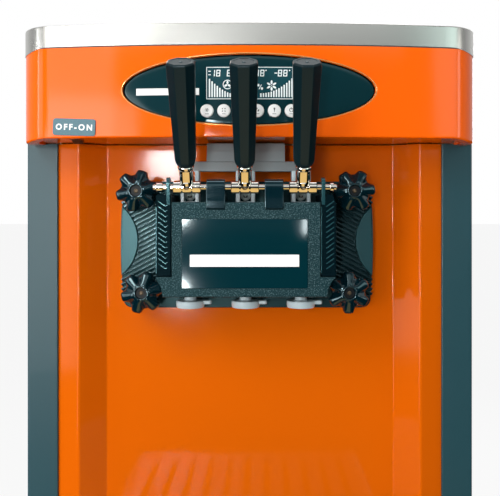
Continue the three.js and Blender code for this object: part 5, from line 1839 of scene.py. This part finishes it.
@dataclass
class StarKnobs:
    """The four star knobs: six blunt lobes with ridges, round a hub with a hole."""

    shop: Workshop
    tip: float = 24.8
    valley: float = 19.4
    turns: tuple[float, ...] = (14.0, 4.0, 13.0, 30.0)

    def build(self) -> None:
        """Makes the knobs."""
        for number, turn in enumerate(self.turns, 1):
            self.knob(number, turn)

    def knob(self, number: int, turn: float) -> None:
        """One knob as rings about its axis.

        A lobe's wave is half of 1 + cos 6t. The edge's radius follows a smooth step of the wave,
        so the lobes end bluntly, and the depth mixes a ridge's and a valley's by its square root.

        Args:
            number: the knob's.
            turn: where its first lobe points, in degrees.
        """
        node = f"knob_{number}"
        low, high = corners(node)
        centre = (low + high) / 2
        points = 168
        angle = np.linspace(0, 2 * math.pi, points, endpoint=False)
        wave = 0.5 + 0.5 * np.cos(6 * (angle - math.radians(turn)))
        blunt = np.clip(wave / 0.8, 0, 1)
        reach, crest = blunt * blunt * (3 - 2 * blunt), wave**0.5
        share = np.array([0.0, 0.08, 0.2, 0.35, 0.5, 0.65, 0.78, 0.88, 0.95, 0.99, 1.0])
        ridge = np.array([0.9, 0.9, 1.5, 2.6, 3.6, 4.6, 5.4, 6.2, 7.2, 8.8, 10.5])
        dip = np.array([0.9, 1.6, 3.2, 5.2, 6.8, 8.2, 9.4, 10.4, 11.4, 12.6, 14.0])
        edge = self.valley + (self.tip - self.valley) * reach
        hub, depth = 9.0, high[1] - low[1]
        mouth = ((0.01, 4.2), (5.9, 4.2), (6.4, 3.6), (6.5, 0.8), (7.0, 0.15), (7.6, 0.0), (8.4, 0.3))
        lobes = [(hub + (edge - hub) * s, b + (a - b) * crest) for s, a, b in zip(share, ridge, dip)]
        skirt = [(edge - 0.1, 18.5), (edge - 0.8, 20.8), (edge - 2.6, 22.0)]
        rows = [*mouth, *lobes, *skirt, (11.0, 22.0), (11.0, depth), (0.01, depth)]
        radius, level = (np.stack([np.broadcast_to(row[k], points) for row in rows]) for k in (0, 1))
        x, z = centre[0] + radius * np.cos(angle), centre[2] + radius * np.sin(angle)
        grid = np.stack([x, low[1] + level, z], -1)
        self.shop.piece(f"star_{number}", Form().rings(grid), KNOB, node, [node], sharp=40)
        foot = (centre[0], low[1] + 4.3, centre[2])
        floor = Form().turned(foot, (0, -1, 0), [(0, 0.3), (6.2, 0.3), (6.3, 0), (0, 0)], 32)
        self.shop.piece(f"star_bore_{number}", floor, BORE_SHADE, node)
        end = Form().turned(foot, (0, -1, 0), [(0, 1.2), (1.7, 1.2), (2.6, 0.6), (2.6, 0.2), (0, 0.2)], 24)
        self.shop.piece(f"star_stud_{number}", end, STUD, node)


@dataclass
class Nozzles:
    """The three nozzle caps with their tabs and necks."""

    shop: Workshop
    tab_start: float = 13.6
    tab_half: float = 4.5
    tab_round: float = 3.2

    def build(self) -> None:
        """Makes the caps: a turned ring, a neck and a tab with a rounded end."""
        for number in range(1, 4):
            node = f"nozzle_cap_{number}"
            low, high = corners(node)
            x, y = (float(v) for v in middle(f"valve_piston_{number}")[:2])
            z = low[2]
            profile = [
                (4.5, 0), (14.6, 0), (15.6, 0.4), (16.2, 1.4), (16.6, 4.2), (16.6, 7.4), (16.0, 8.3),
                (15.2, 8.5), (8.4, 8.5), (7.2, 9.4), (6.9, 11), (6.9, 21.6), (6.2, 22.5), (4.5, 22.5),
                (4.5, 0),
            ]
            form = Form().turned((x, y, z), (0, 0, 1), profile, 64)
            start, half, small = x + self.tab_start, self.tab_half, self.tab_round
            tip, flat = high[0] - small, half - small
            tab = np.concatenate([
                [(start, y - half)], arc(tip, y - flat, small, -90, 0, 5),
                arc(tip, y + flat, small, 0, 90, 5), [(start, y + half)],
            ])
            form.slab(tab, z + 4.2, z + 8.4, 0.7)
            self.shop.piece(f"cap_{number}", form, GREY, node, [node])


# ---- drip tray, castors and the inside


@dataclass
class DripTray:
    """The pull-out tray and its slotted grille."""

    shop: Workshop
    slots: int = 11
    slot_width: float = 8.0
    slot_span: float = 270.0

    def build(self) -> None:
        """Makes the tray as one shell of its outline, and the grille with a rounded edge."""
        low, high = corners("drip_tray")
        x, y, _ = middle("drip_tray")
        outline = rounded(x, y, *extent("drip_tray")[:2], 16, 8)
        foot, top = low[2], high[2]
        ledge = top - 6.3
        profile = [
            (-15, foot), (-5, foot), (-1.5, foot + 1.5), (0, foot + 5), (0, top - 0.8), (-0.8, top),
            (-1.7, top), (-2.5, top - 0.8), (-2.5, ledge), (-6.5, ledge), (-6.5, foot + 5),
            (-9, foot + 2.5), (-15, foot + 2.5),
        ]
        self.shop.piece("tray_pan", Form().stack(outline, profile), STEEL_X, "drip_tray", ["drip_tray"])
        low, high = corners("drip_grille")
        width, length, _ = extent("drip_grille")
        plate = Form().slab(rounded(x, y, width, length, 13, 8), low[2], high[2], 1.0)
        depth, half = length - 54, self.slots // 2
        slots = Form()
        for step in range(-half, half + 1):
            place = x + step * self.slot_span / (2 * half)
            slots.slab(rounded(place, y, self.slot_width, depth, 3.9, 5), low[2] - 5, high[2] + 5)
        self.shop.piece("grille_plate", plate, STEEL_SATIN, "drip_grille", ["drip_grille"], [slots])


@dataclass
class Castors:
    """The wheels with their tyres and hubs, the nuts on their axles, and the front forks."""

    shop: Workshop

    def build(self) -> None:
        """Makes a tyre and a hub for each wheel, and dresses the forks."""
        for where in ("front_left", "front_right", "rear_left", "rear_right"):
            node = f"castor_wheel_{where}"
            centre = middle(node)
            half = extent(node)[0] / 2
            tread = centre[2]
            shoulder = [(9, 1), (5, 0), (2, 1.2), (0.4, 4), (0, 8)]
            tyre = [(tread - inward, -half + across) for inward, across in shoulder]
            tyre += [(radius, -across) for radius, across in reversed(tyre)] + tyre[:1]
            self.shop.piece(f"tyre_{where}", Form().turned(centre, (1, 0, 0), tyre, 72), RUBBER, node, [node])
            hub = [
                (4.3, -half), (9, -half), (10.5, -half + 1.5), (13, -half + 5), (tread - 12, -half + 4),
                (tread - 10, -half + 1.4), (tread - 8.6, -half + 1.4),
            ]
            hub += [(radius, -across) for radius, across in reversed(hub)] + hub[:1]
            self.shop.piece(f"hub_{where}", Form().turned(centre, (1, 0, 0), hub, 56), WORN, node)
            nuts = Form()
            hexagon = [(0, -1), (7.4, -1), (7.4, 0.8), (6.6, 4), (0, 4)]
            carrier = "chassis" if where.startswith("rear") else node.replace("wheel", "fork")
            for sign in (-1, 1):
                nuts.turned(centre + [sign * (half + 5), 0, 0], (sign, 0, 0), hexagon, 6)
            self.shop.piece(f"axle_nuts_{where}", nuts, ZINC, carrier)
            if where.startswith("front"):
                self.shop.dress(f"castor_fork_{where}", ZINC)


@dataclass
class Inside:
    """Working parts behind the panels: they keep their CAD shapes."""

    shop: Workshop

    def build(self) -> None:
        """Dresses each hidden node."""
        finishes = {
            "chassis": ZINC, "feed_tube_left": GREY, "feed_tube_right": GREY,
            "freezing_cylinder_left": STEEL_Y, "freezing_cylinder_right": STEEL_Y,
            "beater_left": STEEL_X, "beater_right": STEEL_X, "gearmotor_left": CAST, "gearmotor_right": CAST,
            "control_board": BOARD, "compressor": CAST, "condenser": ALUMINIUM, "fan": BLACK,
        }
        for node, finish in finishes.items():
            self.shop.dress(node, finish)
            LOG.info("dressed %s", node)


# ---- studio


@dataclass(frozen=True)
class Lamp:
    """A soft lamp, a rectangle or an ellipse, that points at a place."""

    name: str
    place: Triple
    aim: Triple
    size: Pair
    power: float
    colour: Colour = (1.0, 1.0, 1.0)
    round: bool = False

    def build(self) -> None:
        """Makes the lamp."""
        data = bpy.data.lights.new(self.name, "AREA")
        data.shape, data.size, data.size_y = ("ELLIPSE" if self.round else "RECTANGLE"), *self.size
        data.energy, data.color = self.power, self.colour
        made = bpy.data.objects.new(self.name, data)
        made.location = self.place
        made.visible_camera = False
        made.rotation_euler = (Vector(self.aim) - Vector(self.place)).to_track_quat("-Z", "Y").to_euler()
        bpy.context.scene.collection.objects.link(made)


@dataclass(frozen=True)
class Studio:
    """Camera, lamps, floor and world."""

    eye: Triple = (0.009, -1.121, 1.106)
    focal: float = 720.0
    width: float = 500.0
    shift: Pair = (-0.014, -0.074)
    sensor: float = 36.0
    paper_glow: float = 0.91
    # How bright the painted reflection on the floor glows for glossy rays.
    reflection_glow: float = 0.9
    room: float = 0.24
    lamps: tuple[Lamp, ...] = (
        Lamp("key_lamp", (-1.3, -2.0, 2.45), (0, -0.2, 1.1), (1.0, 1.0), 28.5, (1.0, 0.985, 0.96)),
        Lamp("left_softbox", (-1.16, -2.1, 1.0), (-0.1, -0.2, 1.0), (0.82, 1.1), 8.5, (1.0, 0.97, 0.94)),
        Lamp("left_strip", (-2.2, -1.0, 1.45), (-0.27, -0.25, 1.3), (0.12, 1.0), 2.6),
        Lamp("right_strip", (2.1, -1.2, 1.5), (0.26, -0.25, 1.3), (0.35, 0.5), 2.0, (1.0, 0.98, 0.93)),
        Lamp("ridge_lamp", (-1.85, -2.1, 0.78), (0.19, -0.22, 0.95), (0.5, 1.35), 8.0),
        Lamp("hood_softbox", (-1.3, -2.05, 1.62), (-0.1, -0.2, 1.25), (0.8, 0.5), 2.4, (1.0, 0.96, 0.92)),
        Lamp("side_lamp", (-1.9, -1.15, 1.1), (0, -0.2, 1.1), (0.6, 1.2), 4.5),
        Lamp("right_softbox", (1.6, -1.8, 1.8), (0.1, -0.2, 1.25), (1.0, 0.9), 4.2, (0.8, 1.0, 0.95)),
        Lamp("sky_panel", (0.0, -2.5, 2.45), (0, -0.2, 1.2), (2.6, 1.3), 8.4, (0.97, 1.0, 0.99)),
        Lamp("top_lamp", (0.0, 0.1, 3.0), (0, 0, 1.3), (1.6, 1.2), 16.0),
        Lamp("flash_lamp", (-0.345, -2.205, 1.3), (-0.1, -0.2, 1.16), (0.18, 0.17), 5.2, round=True),
        Lamp("glint_lamp_upper", (-0.3, -2.2, 1.1), (-0.07, -0.33, 1.09), (0.11, 0.09), 3.0, round=True),
        Lamp("glint_lamp_lower", (-0.3, -2.2, 0.8), (-0.07, -0.33, 1.02), (0.11, 0.11), 3.6, round=True),
        Lamp("glint_lamp_right", (0.188, -2.2, 1.05), (0.06, -0.33, 1.09), (0.01, 0.055), 0.09),
        Lamp("rear_lamp", (0.8, 2.6, 2.0), (0, 0.3, 0.8), (1.6, 1.6), 34.0),
    )

    def build(self) -> None:
        """Makes the camera, the lamps, the floor and the world."""
        scene = bpy.context.scene
        data = bpy.data.cameras.new("camera")
        data.sensor_width = self.sensor
        data.lens = self.sensor * self.focal / self.width
        data.shift_x, data.shift_y = self.shift
        data.clip_start, data.clip_end = 0.05, 100.0
        camera = bpy.data.objects.new("camera", data)
        camera.location = self.eye
        camera.rotation_euler = (math.radians(90.0), 0.0, 0.0)
        scene.collection.objects.link(camera)
        scene.camera = camera
        scene.view_settings.view_transform = "Standard"
        for lamp in self.lamps:
            lamp.build()
        self.floor()
        self.world()

    def floor(self) -> None:
        """A pale floor that the camera sees nearly white, with the machine's shadow kept.

        Glossy rays alone see a warm glow on it round the machine, an oval whose edge fades out: a painted
        reflection, which lights nothing.
        """
        data = bpy.data.meshes.new("floor")
        data.from_pydata([(-40, -40, 0), (40, -40, 0), (40, 60, 0), (-40, 60, 0)], [], [(0, 1, 2, 3)])
        made = bpy.data.objects.new("floor", data)
        bpy.context.scene.collection.objects.link(made)
        material = bpy.data.materials.new("floor_paper")
        material.use_nodes = True
        tree = material.node_tree
        g = Graph(tree)
        shader = tree.nodes["Principled BSDF"]
        shader.inputs["Base Color"].default_value = (0.5, 0.5, 0.49, 1)
        shader.inputs["Roughness"].default_value = 0.8
        glow = g.node("Emission", {"Color": (1, 1, 1, 1), "Strength": 1.0})
        path = g.node("LightPath")
        seen = g.math("MULTIPLY", path.outputs["Is Camera Ray"], self.paper_glow)
        mix = g.node("MixShader", {0: seen, 1: shader.outputs[0], 2: glow.outputs[0]})
        # Painted reflection: a warm glowing oval that only glossy rays see, lighting nothing.
        here = g.node("TexCoord").outputs["Object"]
        place = g.node("Mapping", {0: here, "Location": (0.0, 1.5, 0.0), "Scale": (1.9, 1.4, 1.0)})
        span = g.node("VectorMath", {0: place.outputs[0]}, operation="LENGTH").outputs["Value"]
        fade = {"Value": span, "From Min": 1.05, "From Max": 0.9, "To Min": 0.0, "To Max": self.reflection_glow}
        reflection_patch = g.node("MapRange", fade)
        warm = g.node("Emission", {"Color": (1.0, 0.66, 0.24, 1), "Strength": reflection_patch.outputs[0]})
        sides = {0: path.outputs["Is Glossy Ray"], 1: mix.outputs[0], 2: warm.outputs[0]}
        mirrored = g.node("MixShader", sides)
        tree.links.new(mirrored.outputs[0], tree.nodes["Material Output"].inputs["Surface"])
        data.materials.append(material)

    def world(self) -> None:
        """White for the camera and dim for the room; gloss sees it bright behind and dim in front."""
        world = bpy.data.worlds.new("studio")
        bpy.context.scene.world = world
        world.use_nodes = True
        tree = world.node_tree
        g = Graph(tree)
        split = g.node("SeparateXYZ", {0: g.node("TexCoord").outputs["Generated"]})
        rise = {"Value": split.outputs["Y"], "From Min": -0.5, "From Max": 0.6, "To Min": 0.1, "To Max": 0.8}
        ramp = g.node("MapRange", rise)
        path = g.node("LightPath")
        camera = g.math("MAXIMUM", path.outputs["Is Camera Ray"], path.outputs["Is Transmission Ray"])
        seen = g.node("Mix", {"Factor": path.outputs["Is Glossy Ray"], 2: self.room, 3: ramp.outputs[0]})
        strength = g.node("Mix", {"Factor": camera, 2: seen.outputs[0], 3: 1.0})
        tree.links.new(strength.outputs[0], tree.nodes["Background"].inputs["Strength"])
        tree.nodes["Background"].inputs["Color"].default_value = (1, 1, 1, 1)


def main() -> None:
    """Builds every sub-assembly round the frame."""
    logging.basicConfig(level=logging.INFO, format="%(name)s: %(message)s")
    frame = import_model()
    Studio().build()
    shop = Workshop(frame)
    low, high = corners("hood")
    bow = Bow(half=float(high[0]), front=float(low[1]))
    head = Head(shop, bow)
    parts = (
        head, Cabinet(shop), Display(shop, bow, head.oval), Switch(shop), Dispenser(shop), Handles(shop),
        StarKnobs(shop), Nozzles(shop), DripTray(shop), Castors(shop), Inside(shop),
    )
    for part in parts:
        part.build()
    left = sorted(set(shop.nodes) - shop.dressed)
    LOG.info("nodes left undressed: %s", left)


if __name__ == "__main__":
    main()
